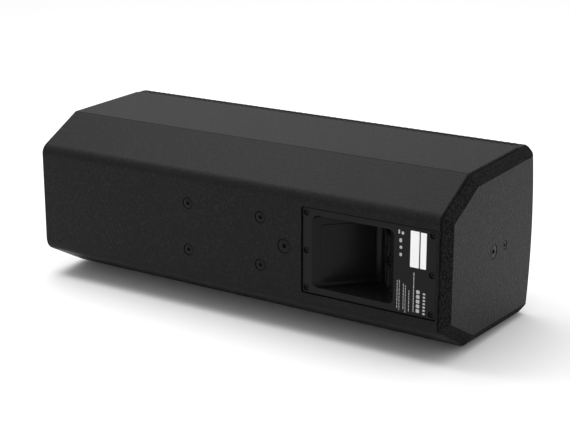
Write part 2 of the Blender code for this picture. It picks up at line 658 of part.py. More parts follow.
def horn_ring(share, grow, y):
    """A section of the flare: a circle at the throat (share 0), a rounded rectangle at the mouth (share 1)."""
    points = []
    power = 2 + 6 * share
    for i in range(HORN_STEPS):
        turn = 2 * math.pi * (i + 0.5) / HORN_STEPS
        c, s = math.cos(turn), math.sin(turn)
        square = (abs(c) ** power + abs(s) ** power) ** (-1 / power)
        widths = [HORN_THROAT + (mouth - HORN_THROAT) * share**1.6 + grow for mouth in HORN_MOUTH]
        points.append((widths[0] * c * square, y, widths[1] * s * square))
    return points


def horn(cabinet):
    axis = empty("horn_axis", (0, -BAFFLE_FRONT, 0), cabinet)
    face, shares = -0.0043, (0.8, 0.55, 0.3, 0.12)
    inner = [horn_ring(1, 0, face)] + [horn_ring(s, 0, HORN_LENGTH * (1 - s)) for s in shares]
    inner.append(horn_ring(0, 0, HORN_LENGTH))
    outer = [horn_ring(s, HORN_WALL, HORN_LENGTH * (1 - s)) for s in shares[::-1]]
    outer.append(horn_ring(1, HORN_WALL, -GAP))
    grow = HORN_FLANGE[0] - HORN_MOUTH[0]
    throat = [circle(0.030, y, HORN_STEPS) for y in (HORN_LENGTH, HORN_LENGTH - 0.005)]
    half_step = Matrix.Rotation(-math.pi / HORN_STEPS, 3, "Y")
    throat = [[half_step @ p for p in ring] for ring in throat]
    flange = [horn_ring(1, grow, -GAP), horn_ring(1, grow, face)]
    place("horn", loft("horn", inner + throat + outer + flange, closed=True), MOULDED, axis)

    def piece(name, profile, finish):
        place(f"driver_{name}", turned(name, profile, 24), finish, axis)

    start = HORN_LENGTH + GAP
    piece("motor", [(HORN_THROAT, start), (0.045, start), (0.045, 0.118), (HORN_THROAT, 0.118)], FERRITE)
    dome = [(0.0300, 0.1200), (0.0220, 0.1200), (0.0150, 0.1245), (0.0080, 0.1270), (0, 0.1278)]
    skin = [(0, 0.1284), (0.0080, 0.1276), (0.0150, 0.1251), (0.0222, 0.1206), (0.0300, 0.1206)]
    piece("diaphragm", dome + skin, TITANIUM)
    outside = [(0.045, 0.1183), (0.045, 0.136), (0.041, 0.140), (0, 0.140)]
    piece("cover", outside + [(0, 0.133), (0.0330, 0.131), (0.0330, 0.1183)], CASTING)


# Crossover and damping


def crossover(cabinet):
    """The board lies over the lower side wall, between the braces, with its parts standing on it."""
    half_wide, rear, front, top, thick = 0.075, 0.088, 0.163, -0.1020, 0.0016
    board = box("board", (-half_wide, -front, top - thick), (half_wide, -rear, top))
    place("crossover_board", board, BOARD, cabinet)
    floor, middle = top + GAP, -(rear + front) / 2
    upright = Matrix.Rotation(math.pi / 2, 4, "X")
    coils = {"low": (-0.045, 0.024, 0.010, 0.022), "high": (0.012, 0.015, 0.006, 0.014)}
    for name, (x, outer, hole, height) in coils.items():
        mesh = turned("coil", [(hole, 0), (outer, 0), (outer, height), (hole, height)])
        mesh.transform(upright)
        place(f"inductor_{name}", mesh, COPPER, cabinet, (x, middle, floor))
    can_x, radius, reach = 0.050, 0.009, 0.038
    mesh = turned("can", [(0, 0), (radius, 0), (radius, reach), (0, reach)], 16)
    place("capacitor", mesh, FILM, cabinet, (can_x, middle - reach / 2, floor + radius))
    block = box("block", (-0.012, -rear - 0.014, floor), (0.028, -rear - 0.004, floor + 0.010))
    place("resistor", block, CASTING, cabinet)


def damping_pad(cabinet):
    """Foam on the rear wall, behind the right woofer."""
    near, far, front, half = 0.140, 0.325, 0.045, 0.064
    pad = box("pad", (near, -front, -half), (far, -WALL - GAP, half))
    place("damping_pad", pad, FOAM, cabinet)


def main():
    clear_scene()
    cabinet = empty("cabinet", (0, DEPTH / 2, BASE_HEIGHT))
    cabinet_shell(cabinet)
    end_caps(cabinet)
    rigging_plates(cabinet)
    baffle(cabinet)
    braces(cabinet)
    grille(cabinet)
    connector_panel(cabinet)
    panel_gasket(cabinet)
    screws(cabinet)
    woofer(cabinet, "left", -WOOFER_X)
    woofer(cabinet, "right", WOOFER_X)
    horn(cabinet)
    crossover(cabinet)
    damping_pad(cabinet)


main()
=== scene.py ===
"""Finished looks of a two-way install loudspeaker: painted cabinet, perforated grille, connector dish and drivers.

Lengths are in metres. Shapes are drawn in the cabinet's own frame, whose origin is the middle of the rear face:
x runs along the cabinet, y is minus the depth behind the rear face, and z is the height over the centre line.
"""

import math
import random

import bmesh
import bpy
from bpy.props import FloatProperty, FloatVectorProperty, PointerProperty
from mathutils import Matrix, Vector
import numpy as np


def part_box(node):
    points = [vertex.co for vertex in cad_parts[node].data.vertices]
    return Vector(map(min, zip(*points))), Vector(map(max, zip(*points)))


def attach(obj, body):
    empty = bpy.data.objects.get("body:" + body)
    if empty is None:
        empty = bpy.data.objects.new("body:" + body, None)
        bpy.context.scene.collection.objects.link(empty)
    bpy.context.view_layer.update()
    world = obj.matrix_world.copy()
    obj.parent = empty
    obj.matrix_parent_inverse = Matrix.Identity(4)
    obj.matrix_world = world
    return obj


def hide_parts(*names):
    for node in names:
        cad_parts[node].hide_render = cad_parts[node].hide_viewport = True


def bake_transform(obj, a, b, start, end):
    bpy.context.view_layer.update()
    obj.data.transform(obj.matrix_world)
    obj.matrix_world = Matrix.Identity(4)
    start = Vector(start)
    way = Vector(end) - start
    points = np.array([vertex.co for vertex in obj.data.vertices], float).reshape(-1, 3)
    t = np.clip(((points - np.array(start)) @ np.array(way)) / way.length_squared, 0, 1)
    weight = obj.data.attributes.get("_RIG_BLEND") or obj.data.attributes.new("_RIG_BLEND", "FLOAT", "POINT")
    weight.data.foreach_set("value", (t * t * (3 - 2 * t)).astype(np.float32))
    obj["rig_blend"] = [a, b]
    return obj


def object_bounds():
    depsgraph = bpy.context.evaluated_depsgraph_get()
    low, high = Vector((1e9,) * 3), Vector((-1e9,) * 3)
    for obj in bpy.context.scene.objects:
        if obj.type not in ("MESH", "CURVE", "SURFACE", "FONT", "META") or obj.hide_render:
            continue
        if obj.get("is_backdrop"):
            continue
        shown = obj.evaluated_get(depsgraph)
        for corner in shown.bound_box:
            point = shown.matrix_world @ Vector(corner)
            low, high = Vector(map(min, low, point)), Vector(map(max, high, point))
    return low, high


bl_info = {
    "name": "Install loudspeaker",
    "version": (1, 0, 0),
    "blender": (4, 5, 0),
    "location": "3D View > Sidebar > Loudspeaker",
    "description": "Builds the finished pieces of a two-way install loudspeaker round its CAD frame",
    "category": "Object",
}

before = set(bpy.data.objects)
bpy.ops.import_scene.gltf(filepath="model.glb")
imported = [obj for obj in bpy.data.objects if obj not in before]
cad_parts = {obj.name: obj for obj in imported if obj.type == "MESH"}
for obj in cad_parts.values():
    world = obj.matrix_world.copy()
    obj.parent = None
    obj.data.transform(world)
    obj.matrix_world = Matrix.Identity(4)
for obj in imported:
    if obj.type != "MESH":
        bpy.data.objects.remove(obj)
CAD_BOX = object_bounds()


def middle(node):
    low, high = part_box(node)
    return (low + high) / 2


CENTRE = middle("rigging_plate_rear").z
REAR = CAD_BOX[1].y
HALF_LENGTH = CAD_BOX[1].x
SHELL_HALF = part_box("cabinet_shell")[1].x
DEPTH = REAR - CAD_BOX[0].y
CABINET = Matrix.Translation((0, REAR, CENTRE))
BAFFLE_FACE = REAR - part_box("front_baffle")[0].y
SIDES = (("left", -1), ("right", 1))
OVER = 0.002  # how far a cutter stands over the face that it cuts
ROUND_GRAIN = 0.35  # share of coarse grain on the shell's wide rear edges


# Settings


def length(name, default, description):
    return FloatProperty(
        name=name, description=description, default=default, unit="LENGTH", subtype="DISTANCE", precision=5
    )


def tint(name, default, description):
    return FloatVectorProperty(
        name=name, description=description, default=default, subtype="COLOR", min=0, max=1, size=3
    )


def share(name, default, description):
    return FloatProperty(name=name, description=description, default=default, min=0, max=1, subtype="FACTOR")


def watts(name, default, description):
    return FloatProperty(name=name, description=description, default=default, unit="POWER")


def angle(name, degrees, description):
    return FloatProperty(
        name=name, description=description, default=math.radians(degrees), subtype="ANGLE", unit="ROTATION"
    )


class CabinetSettings(bpy.types.PropertyGroup):
    rear_half: length("Rear half height", 0.0795, "Half the height of the flat rear face")
    chamfer_depth: length("Chamfer depth", 0.079, "Depth at which the chamfers meet the sides")
    side_half: length("Side half height", 0.1223, "Half the height where the chamfers meet the sides")
    side_flare: FloatProperty(name="Side flare", description="Rise of each side per metre of depth", default=0.033)
    shell_front: length("Shell front", 0.232, "Depth of the shell's front edge")
    wall: length("Wall", 0.015, "Thickness of the shell's boards")
    bow_radius: length("Bow radius", 0.75, "Radius of the bowed front")
    rear_round: length("Rear rounding", 0.019, "Radius between the rear face and the chamfers")
    side_round: length("Side rounding", 0.0045, "Radius between the chamfers and the sides")
    front_round: length("Front rounding", 0.014, "Radius between the sides and the bowed front")
    bevel_length: length("Cap bevel length", 0.0124, "How far an end cap stands out from the shell")
    bevel_inset: length("Cap bevel inset", 0.0175, "How far an end face is drawn in from the section")
    front_bevel_inset: length("Cap front inset", 0.010, "How far an end face is drawn in at the bowed front")
    edge: length("Edge rounding", 0.0013, "Radius of the painted edges")
    paint: tint("Paint", (0.0042, 0.0042, 0.0044), "Structured paint of the shell")
    # the end caps' paint is a little paler than the shell's, as painted light for the light falling on the end faces
    cap_paint: tint("Cap paint", (0.0048, 0.0048, 0.0050), "Structured paint of the end caps")
    grain: length("Paint grain", 0.0022, "Size of the pebbles in the structured paint")


class GrilleSettings(bpy.types.PropertyGroup):
    pitch: length("Hole pitch", 0.0060, "Distance between the holes of the grille")
    web: length("Web", 0.0012, "Width of the metal between two holes")
    sheet: length("Sheet", 0.0012, "Thickness of the grille's steel sheet")
    bend: length("Bend radius", 0.0075, "Radius of the grille's folded edges")
    inset: length("Side inset", 0.0022, "How far the grille's flanges lie inside the section")
    bow_inset: length("Front inset", 0.0015, "How far the grille's front lies behind the caps")
    paint: tint("Grille paint", (0.0240, 0.0240, 0.0248), "Powder coat of the grille")


class PanelSettings(bpy.types.PropertyGroup):
    sink: length("Sink", 0.0025, "Depth of the connector panel's face behind the rear face")
    thick: length("Thickness", 0.003, "Wall of the moulding")
    corner: length("Corner", 0.003, "Radius of the panel's corners")
    recess: length("Recess", 0.0070, "Depth of the pocket that the panel lies in")
    gap: length("Gap", 0.0011, "Gap round the panel")
    shallow_x: length("Floor start", -0.148, "Where the dish's long sloped floor starts")
    fold_x: length("Fold", -0.216, "Where the floor meets the steep wall")
    steep_x: length("Steep wall start", -0.277, "Where the steep wall starts")
    dish_depth: length("Dish depth", 0.078, "Depth of the fold behind the rear face, before it is rounded")
    dish_half: length("Dish half height", 0.052, "Half the height of the dish")
    dish_corner: length("Dish corner", 0.009, "Radius of the dish's corners")
    fold_round: length("Fold rounding", 0.008, "Radius of the fold")
    rim: length("Rim rounding", 0.0010, "Radius of the dish's rim")
    dish_root: length("Dish root", 0.0050, "Radius between the dish's floor and its sides, deep inside")
    plastic: tint("Plastic", (0.0072, 0.0072, 0.0075), "Moulded plastic of the panel and the dish")
    paper: tint("Label", (0.93, 0.93, 0.93), "Paper of the blank labels")
    ink: tint("Ink", (0.40, 0.40, 0.40), "Printed marks")


class StageSettings(bpy.types.PropertyGroup):
    azimuth: angle("Azimuth", 213.8, "Camera angle round the cabinet")
    elevation: angle("Elevation", 16.5, "Camera angle over the floor")
    distance: length("Distance", 2.15, "From the camera to the point that it aims at")
    lens: FloatProperty(name="Lens", description="Focal length of the camera, in millimetres", default=90.4)
    world: share("World light", 0.69, "Light from the studio's white walls")
    floor: tint("Floor", (0.90, 0.90, 0.90), "Pale floor")
    ceiling: FloatProperty(
        name="Ceiling light", description="Light from a wide soft ceiling, in watts per square metre", default=1.2
    )
    top_power: watts("Top light", 11.5, "Power of the softbox overhead")
    key_power: watts("Key light", 6.0, "Power of the small softbox behind the cabinet")


# Modelling helpers


def verts_in(geom):
    return [item for item in geom if isinstance(item, bmesh.types.BMVert)]


def sweep(loops, close=True, ends=True, layer=None):
    """A skin drawn by extruding a loop of edges through further loops of as many points.

    The skin is closed with a face at each end, or left open. A point's fourth number is a mark, and the layer keeps
    each face's least mark.
    """
    bm = bmesh.new()
    marks = {}

    def put(ring, points):
        for vert, point in zip(ring, points):
            vert.co = point[:3]
            marks[vert] = point[3] if layer else 0

    first = ring = [bm.verts.new(point[:3]) for point in loops[0]]
    put(first, loops[0])
    pairs = list(zip(ring, ring[1:] + ring[:1])) if close else list(zip(ring, ring[1:]))
    edges = [bm.edges.new(pair) for pair in pairs]
    for points in loops[1:]:
        made = bmesh.ops.extrude_edge_only(bm, edges=edges)["geom"]
        new = set(verts_in(made))
        ring = [next(e.other_vert(v) for e in v.link_edges if e.other_vert(v) in new) for v in ring]
        put(ring, points)
        edges = [e for e in made if isinstance(e, bmesh.types.BMEdge) and set(e.verts) <= new]
    if ends:
        bm.faces.new(first)
        bm.faces.new(ring)
    if layer:
        kept = bm.faces.layers.float.new(layer)
        for face in bm.faces:
            face[kept] = min(marks[vert] for vert in face.verts)
    return bm


def turned(profile, steps=64):
    """A solid of revolution round Y, from a profile of (radius, y) points."""
    bm = bmesh.new()
    verts = [bm.verts.new((radius, y, 0)) for radius, y in profile]
    edges = [bm.edges.new(pair) for pair in zip(verts, verts[1:])]
    if profile[0][0] or profile[-1][0]:
        edges.append(bm.edges.new((verts[-1], verts[0])))
    bmesh.ops.spin(
        bm, geom=verts + edges, axis=(0, 1, 0), cent=(0, 0, 0), angle=2 * math.pi, steps=steps, use_merge=True
    )
    return bm


def facing(at, outward):
    """A matrix that puts a shape's own +Z along outward, at a point."""
    return Matrix.Translation(at) @ Vector(outward).to_track_quat("Z", "Y").to_matrix().to_4x4()


def tidied(bm):
    bmesh.ops.remove_doubles(bm, verts=bm.verts, dist=2e-6)
    bmesh.ops.dissolve_degenerate(bm, dist=1e-7, edges=bm.edges)
    bmesh.ops.recalc_face_normals(bm, faces=bm.faces)
    return bm


def mesh_of(bm, name, matrix=None):
    mesh = bpy.data.meshes.new(name)
    bm.to_mesh(mesh)
    bm.free()
    if matrix:
        mesh.transform(matrix)
    return mesh


def add_piece(name, bm, material, body="cabinet", matrix=CABINET, replaces=(), slot=None, crease=32, cuts=(), joins=()):
    """A finished piece at the origin, with its place in its mesh, cut and joined by other shapes, riding on a body."""
    obj = bpy.data.objects.new(name, mesh_of(tidied(bm), name, matrix))
    bpy.context.scene.collection.objects.link(obj)
    for operation, shapes in (("UNION", joins), ("DIFFERENCE", cuts)):
        for shape in shapes:
            combine(obj, shape, operation, matrix)
    obj.data.materials.clear()
    obj.data.materials.append(material)
    obj.data.shade_smooth()
    obj.data.set_sharp_from_angle(angle=math.radians(crease))
    if cuts or joins:
        weighted = obj.modifiers.new("flat faces shade flat", "WEIGHTED_NORMAL")
        weighted.keep_sharp = True
    if body:
        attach(obj, body)
    if replaces:
        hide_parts(*replaces)
    return obj


def combine(obj, shape, operation, matrix):
    """Cuts a shape from a piece, or joins it on, and removes the shape."""
    helper = bpy.data.objects.new("helper", mesh_of(tidied(shape), "helper", matrix))
    bpy.context.scene.collection.objects.link(helper)
    modifier = obj.modifiers.new("combine", "BOOLEAN")
    modifier.operation = operation
    modifier.object = helper
    graph = bpy.context.evaluated_depsgraph_get()
    mesh = bpy.data.meshes.new_from_object(obj.evaluated_get(graph))
    obj.modifiers.clear()
    old, obj.data = obj.data, mesh
    bpy.data.meshes.remove(old)
    bpy.data.meshes.remove(helper.data)


def placed(bm, matrix):
    bmesh.ops.transform(bm, matrix=matrix, verts=bm.verts)
    return bm


def joined(shapes):
    """Several shapes in one bmesh."""
    whole = bmesh.new()
    for shape in shapes:
        mesh = mesh_of(tidied(shape), "part")
        whole.from_mesh(mesh)
        bpy.data.meshes.remove(mesh)
    return whole


def rounded_rectangle(width, height, radius, steps=8, centre=(0, 0)):
    """Corner arcs of a rectangle, as (x, z) points."""
    points = []
    for corner, (sx, sz) in enumerate(((1, 1), (-1, 1), (-1, -1), (1, -1))):
        for i in range(steps + 1):
            turn = math.pi / 2 * (corner + i / steps)
            x = sx * (width / 2 - radius) + radius * math.cos(turn)
            z = sz * (height / 2 - radius) + radius * math.sin(turn)
            points.append((centre[0] + x, centre[1] + z))
    return points


def soft_block(width, height, thick, radius, edge, steps=6, edge_steps=3):
    """A rounded rectangular block on the XY plane, from z = 0 up to thick, with a rounded top edge."""
    loops = [rounded_rectangle(width, height, radius, steps)]
    heights = [0]
    for i in range(edge_steps + 1):
        turn = math.pi / 2 * i / edge_steps
        inset = edge * (1 - math.cos(turn))
        loops.append(rounded_rectangle(width - 2 * inset, height - 2 * inset, max(radius - inset, 1e-5), steps))
        heights.append(thick - edge + edge * math.sin(turn))
    return sweep([[(x, y, z) for x, y in loop] for loop, z in zip(loops, heights)])


# Cabinet section. Points are (depth, height, share of coarse grain).


def meeting(p, u, q, v):
    """Where the line through p along u meets the line through q along v."""
    w = q - p
    return p + u * ((w.x * v.y - w.y * v.x) / (u.x * v.y - u.y * v.x))


def point(depth, height):
    return Vector((depth, height, 0))


def fillet(before, corner, after, radius, steps, coarse=0.0):
    """The arc that rounds the corner between two straight runs."""
    a, b = (before - corner).normalized(), (after - corner).normalized()
    half = math.acos(max(-1, min(1, a.dot(b)))) / 2
    centre = corner + (a + b).normalized() * (radius / math.sin(half))
    first = corner + a * (radius / math.tan(half)) - centre
    last = corner + b * (radius / math.tan(half)) - centre
    start = math.atan2(first.y, first.x)
    swing = math.remainder(math.atan2(last.y, last.x) - start, 2 * math.pi)
    arc = []
    for i in range(steps + 1):
        turn = start + swing * i / steps
        mark = coarse * math.sin(math.pi * i / steps)
        arc.append(centre + Vector((radius * math.cos(turn), radius * math.sin(turn), mark)))
    return arc


def side_lines(inset):
    """The rear corner, the side corner and the side's direction, upper half, moved inwards."""
    size = bpy.context.scene.loudspeaker_cabinet
    rear, side = point(0, size.rear_half), point(size.chamfer_depth, size.side_half)
    along_chamfer = (side - rear).normalized()
    along_side = point(1, size.side_flare).normalized()
    rear += inset * point(along_chamfer.y, -along_chamfer.x)
    side += inset * point(along_side.y, -along_side.x)
    rear_corner = meeting(point(inset, 0), point(0, 1), rear, along_chamfer)
    return rear_corner, meeting(rear, along_chamfer, side, along_side), along_side


def radius_left(radius, inset):
    least = 0.0006
    return max(radius - inset, least)


def bow(inset, bow_inset, radius, steps=14):
    """The front from its upper corner to just above the centre line."""
    size = bpy.context.scene.loudspeaker_cabinet
    _, side, along = side_lines(inset)
    centre, reach = point(DEPTH - size.bow_radius, 0), size.bow_radius - bow_inset
    across = (side - centre).dot(along)
    corner = side + along * (-across + math.sqrt(across**2 - (side - centre).length_squared + reach**2))
    spoke = corner - centre
    arc = fillet(side, corner, corner + point(spoke.y, -spoke.x), radius, 8)
    top = math.asin(arc[-1].y / reach)
    turns = [top * (1 - i / steps) for i in range(1, steps)]
    return arc + [centre + reach * point(math.cos(t), math.sin(t)) for t in turns]


def mirrored(points):
    return [Vector((p.x, -p.y, p.z)) for p in reversed(points)]


def outline(inset, bow_inset):
    """The whole section: rear, chamfers, sides and bowed front."""
    size = bpy.context.scene.loudspeaker_cabinet
    rear, side, along = side_lines(inset)
    upper = fillet(point(rear.x, 0), rear, side, radius_left(size.rear_round, inset), 14, ROUND_GRAIN)
    upper += fillet(rear, side, side + along, radius_left(size.side_round, inset), 6, 1.0)
    upper += bow(inset, bow_inset, radius_left(size.front_round, inset))
    return upper + [point(DEPTH - bow_inset, 0)] + mirrored(upper)


def open_path(inset, front):
    """The shell's section from its lower front edge, round the rear, to its upper front edge."""
    size = bpy.context.scene.loudspeaker_cabinet
    rear, side, along = side_lines(inset)
    edge = side + along * ((front - side.x) / along.x)
    upper = fillet(point(rear.x, 0), rear, side, radius_left(size.rear_round, inset), 14, ROUND_GRAIN)
    upper += fillet(rear, side, edge, radius_left(size.side_round, inset), 6, 1.0) + [edge]
    return mirrored(upper) + upper


def front_path(inset, bow_inset, flange, radius):
    """The grille's section: from its upper flange, over the bow, to its lower flange."""
    _, side, along = side_lines(inset)
    edge = side + along * ((flange - side.x) / along.x)
    upper = [edge] + bow(inset, bow_inset, radius, 40)
    return upper + [point(DEPTH - bow_inset, 0)] + mirrored(upper)


def at_x(points, x):
    return [(x, -p.x, p.y, p.z) for p in points]


# Materials


def add(tree, kind, inputs=None, **settings):
    """A node of a tree with its settings, and each input given a value or a link."""
    made = tree.nodes.new("ShaderNode" + kind)
    for name, value in settings.items():
        setattr(made, name, value)
    for name, value in (inputs or {}).items():
        if isinstance(value, bpy.types.NodeSocket):
            tree.links.new(value, made.inputs[name])
        else:
            made.inputs[name].default_value = value
    return made


def maths(tree, operation, a, b=0.0):
    return add(tree, "Math", {0: a, 1: b}, operation=operation).outputs[0]


def mixed(tree, factor, a, b):
    made = add(tree, "Mix", {"Factor": factor}, data_type="RGBA")
    for socket, value in ((made.inputs[6], a), (made.inputs[7], b)):
        if isinstance(value, bpy.types.NodeSocket):
            tree.links.new(value, socket)
        else:
            socket.default_value = (*value, 1)
    return made.outputs[2]


def ramp(tree, value, low, high, to_low=0.0, to_high=1.0):
    """A value carried from one range to another, and held at its ends."""
    inputs = {"Value": value, "From Min": low, "From Max": high, "To Min": to_low, "To Max": to_high}
    return add(tree, "MapRange", inputs).outputs[0]


def noise(tree, where, scale, detail=2.0, roughness=0.5):
    inputs = {"Vector": where, "Scale": scale, "Detail": detail, "Roughness": roughness}
    return add(tree, "TexNoise", inputs).outputs["Fac"]


def stretched(tree, where, scale):
    return add(tree, "Mapping", {"Vector": where, "Scale": scale}).outputs[0]


def group(name, inputs, outputs):
    """A new node group with float or colour sockets: the tree, its inputs by name, and its output node."""
    tree = bpy.data.node_groups.new(name, "ShaderNodeTree")
    for in_out, sockets in (("INPUT", inputs), ("OUTPUT", outputs)):
        for socket_name, default in sockets.items():
            kind = "NodeSocketColor" if isinstance(default, tuple) else "NodeSocketFloat"
            socket = tree.interface.new_socket(socket_name, in_out=in_out, socket_type=kind)
            if in_out == "INPUT":
                socket.default_value = (*default, 1) if isinstance(default, tuple) else default
    entry = tree.nodes.new("NodeGroupInput")
    return tree, entry.outputs, tree.nodes.new("NodeGroupOutput")


def feed(tree, leave, values):
    for name, value in values.items():
        tree.links.new(value, leave.inputs[name])
    return tree


def use(tree, made, inputs):
    node = tree.nodes.new("ShaderNodeGroup")
    node.node_tree = made
    for name, value in inputs.items():
        if isinstance(value, bpy.types.NodeSocket):
            tree.links.new(value, node.inputs[name])
        else:
            node.inputs[name].default_value = value
    return node.outputs


def object_coordinates(tree):
    return add(tree, "TexCoord").outputs["Object"]


def pebbled_paint_group():
    """The grain of structured paint: fine pebbles, or coarse ones where the mask says so, pale flecks, and painted
    shade in the coarse pebbles' hollows with painted highlight on their tops.
    """
    tree, entry, leave = group(
        "pebbled paint", {"Size": 0.001, "Coarse": 0.0}, {"Height": 0.0, "Fleck": 0.0, "Painted Pebble Light": 0.0, "Mottle": 0.0}
    )
    where = object_coordinates(tree)
    scale = maths(tree, "DIVIDE", 1.0, entry["Size"])
    fine = noise(tree, where, scale, 2.0, 0.6)
    coarse = noise(tree, where, scale, 2.0, 0.6)
    cells = {"Vector": where, "Scale": maths(tree, "MULTIPLY", scale, 0.7), "Smoothness": 0.6}
    bumps = add(tree, "TexVoronoi", cells, feature="SMOOTH_F1").outputs["Distance"]
    small = maths(tree, "ADD", maths(tree, "MULTIPLY", fine, 0.7), maths(tree, "MULTIPLY", bumps, 0.3))
    difference = maths(tree, "SUBTRACT", maths(tree, "MULTIPLY", coarse, 1.7), small)
    height = maths(tree, "ADD", small, maths(tree, "MULTIPLY", difference, entry["Coarse"]))
    fleck = ramp(tree, noise(tree, where, maths(tree, "MULTIPLY", scale, 0.8), 1.0), 0.52, 0.72)
    # painted shade and highlight: the coarse pebbles' colour follows their height, dark in the hollows and pale on the
    # tops
    painted_pebble_light = ramp(tree, coarse, 0.42, 0.58)
    mottle = noise(tree, where, 9.0, 3.0, 0.6)
    return feed(tree, leave, {"Height": height, "Fleck": fleck, "Painted Pebble Light": painted_pebble_light, "Mottle": mottle})


def fine_texture_group():
    """The spark-eroded texture of a moulding: a very fine grain and a slow change of gloss."""
    tree, entry, leave = group("moulded texture", {"Size": 0.0004}, {"Height": 0.0, "Mottle": 0.0})
    where = object_coordinates(tree)
    grain = noise(tree, where, maths(tree, "DIVIDE", 1.0, entry["Size"]), 2.0, 0.6)
    return feed(tree, leave, {"Height": grain, "Mottle": noise(tree, where, 14.0, 2.0, 0.5)})


def brushed_group():
    """Fine scratches drawn along one axis, and blotches of plating or oxide."""
    tree, entry, leave = group("brushed metal", {"Scale": 900.0}, {"Scratch": 0.0, "Blotch": 0.0})
    where = object_coordinates(tree)
    lines = noise(tree, stretched(tree, where, (0.06, 1.0, 1.0)), entry["Scale"], 3.0, 0.6)
    return feed(tree, leave, {"Scratch": lines, "Blotch": noise(tree, where, 120.0, 3.0, 0.6)})


def shader(material):
    return material.node_tree.nodes["Principled BSDF"]


def plain_material(name, colour, roughness, metallic=0.0, **constants):
    """A Principled material with constant values on its own sockets."""
    material = bpy.data.materials.new(name)
    material.use_nodes = True
    inputs = shader(material).inputs
    inputs["Base Color"].default_value = (*colour, 1)
    inputs["Roughness"].default_value = roughness
    inputs["Metallic"].default_value = metallic
    for socket_name, value in constants.items():
        inputs[socket_name.replace("_", " ")].default_value = value
    material.diffuse_color = (*colour, 1)
    return material


def wire(material, **sockets):
    for socket_name, value in sockets.items():
        material.node_tree.links.new(value, shader(material).inputs[socket_name.replace("_", " ")])
    return material


def bump(tree, height, distance, strength=1.0):
    return add(tree, "Bump", {"Height": height, "Distance": distance, "Strength": strength}).outputs[0]


def scaled(colour, factor):
    return tuple(min(1.0, channel * factor) for channel in colour)


def structured_paint(name, colour, grain, depth, fleck):
    """Black structured paint with paler flecks, which lies coarser where the piece's coarse attribute says so, and
    there carries painted shade and highlight on its pebbles.
    """
    material = plain_material(name, colour, 0.5, Specular_IOR_Level=0.125)
    tree = material.node_tree
    mask = add(tree, "Attribute", attribute_name="coarse").outputs["Fac"]
    paint = use(tree, bpy.data.node_groups["pebbled paint"], {"Size": grain, "Coarse": mask})
    tone = mixed(tree, ramp(tree, paint["Mottle"], 0.3, 0.7), scaled(colour, 0.92), scaled(colour, 1.1))
    tone = mixed(tree, paint["Fleck"], tone, scaled(colour, fleck))
    # where the paint lies coarse, its colour carries painted shade in the pebbles' hollows and painted highlight on
    # their tops
    pebble_shade_and_highlight = mixed(tree, paint["Painted Pebble Light"], scaled(colour, 0.1), scaled(colour, 3.4))
    tone = mixed(tree, mask, tone, pebble_shade_and_highlight)
    smooth = ramp(tree, mask, 0.0, 1.0, 0.48, 0.92)
    rough = maths(tree, "ADD", smooth, ramp(tree, paint["Height"], 0.3, 0.9, -0.06, 0.06))
    return wire(material, Base_Color=tone, Roughness=rough, Normal=bump(tree, paint["Height"], depth))


def moulded_plastic(name, colour, roughness, size=0.0004, depth=0.00003, **constants):
    material = plain_material(name, colour, roughness, **constants)
    tree = material.node_tree
    texture = use(tree, bpy.data.node_groups["moulded texture"], {"Size": size})
    tone = mixed(tree, ramp(tree, texture["Mottle"], 0.3, 0.7), scaled(colour, 0.93), scaled(colour, 1.08))
    rough = ramp(tree, texture["Mottle"], 0.3, 0.7, roughness - 0.04, roughness + 0.04)
    return wire(material, Base_Color=tone, Roughness=rough, Normal=bump(tree, texture["Height"], depth))


def metal(name, colour, roughness, spread=0.12, metallic=1.0, depth=0.00001, **constants):
    material = plain_material(name, colour, roughness, metallic, **constants)
    tree = material.node_tree
    brushed = use(tree, bpy.data.node_groups["brushed metal"], {})
    tone = mixed(tree, ramp(tree, brushed["Blotch"], 0.35, 0.65), scaled(colour, 0.82), scaled(colour, 1.12))
    rough = ramp(tree, brushed["Scratch"], 0.3, 0.7, roughness - spread / 2, roughness + spread / 2)
    return wire(material, Base_Color=tone, Roughness=rough, Normal=bump(tree, brushed["Scratch"], depth))


def plywood():
    """Birch: long figure on the faces, and thin plies where the board's edge shows."""
    pale, dark = (0.56, 0.42, 0.26), (0.36, 0.24, 0.13)
    material = plain_material("birch plywood", pale, 0.62)
    tree = material.node_tree
    where = object_coordinates(tree)
    figure = noise(tree, stretched(tree, where, (3.0, 60.0, 60.0)), 3.0, 5.0, 0.6)
    bands = {"Vector": where, "Scale": 320.0, "Distortion": 0.4, "Detail": 1.0}
    plies = add(tree, "TexWave", bands, bands_direction="Y", wave_profile="SIN").outputs["Fac"]
    pores = noise(tree, stretched(tree, where, (120.0, 900.0, 900.0)), 1.0, 2.0)
    tone = mixed(tree, ramp(tree, figure, 0.35, 0.7), pale, dark)
    tone = mixed(tree, ramp(tree, plies, 0.3, 0.9, 0.0, 0.25), tone, scaled(dark, 0.8))
    tone = mixed(tree, ramp(tree, pores, 0.6, 0.75, 0.0, 0.5), tone, scaled(dark, 0.6))
    return wire(material, Base_Color=tone, Normal=bump(tree, pores, 0.0001))


def open_foam():
    """Open-cell foam: pale struts, with the cells between them darkened as painted shade."""
    colour = (0.012, 0.012, 0.013)
    material = plain_material("open-cell foam", colour, 0.95, Specular_IOR_Level=0.15)
    tree = material.node_tree
    where = object_coordinates(tree)
    cells = add(tree, "TexVoronoi", {"Vector": where, "Scale": 900.0}, feature="DISTANCE_TO_EDGE").outputs["Distance"]
    struts = ramp(tree, cells, 0.02, 0.12, 1.0, 0.0)
    # painted shade: the cells between the struts are darkened
    tone = mixed(tree, struts, scaled(colour, 0.4), scaled(colour, 2.0))
    return wire(material, Base_Color=tone, Normal=bump(tree, struts, 0.0004))


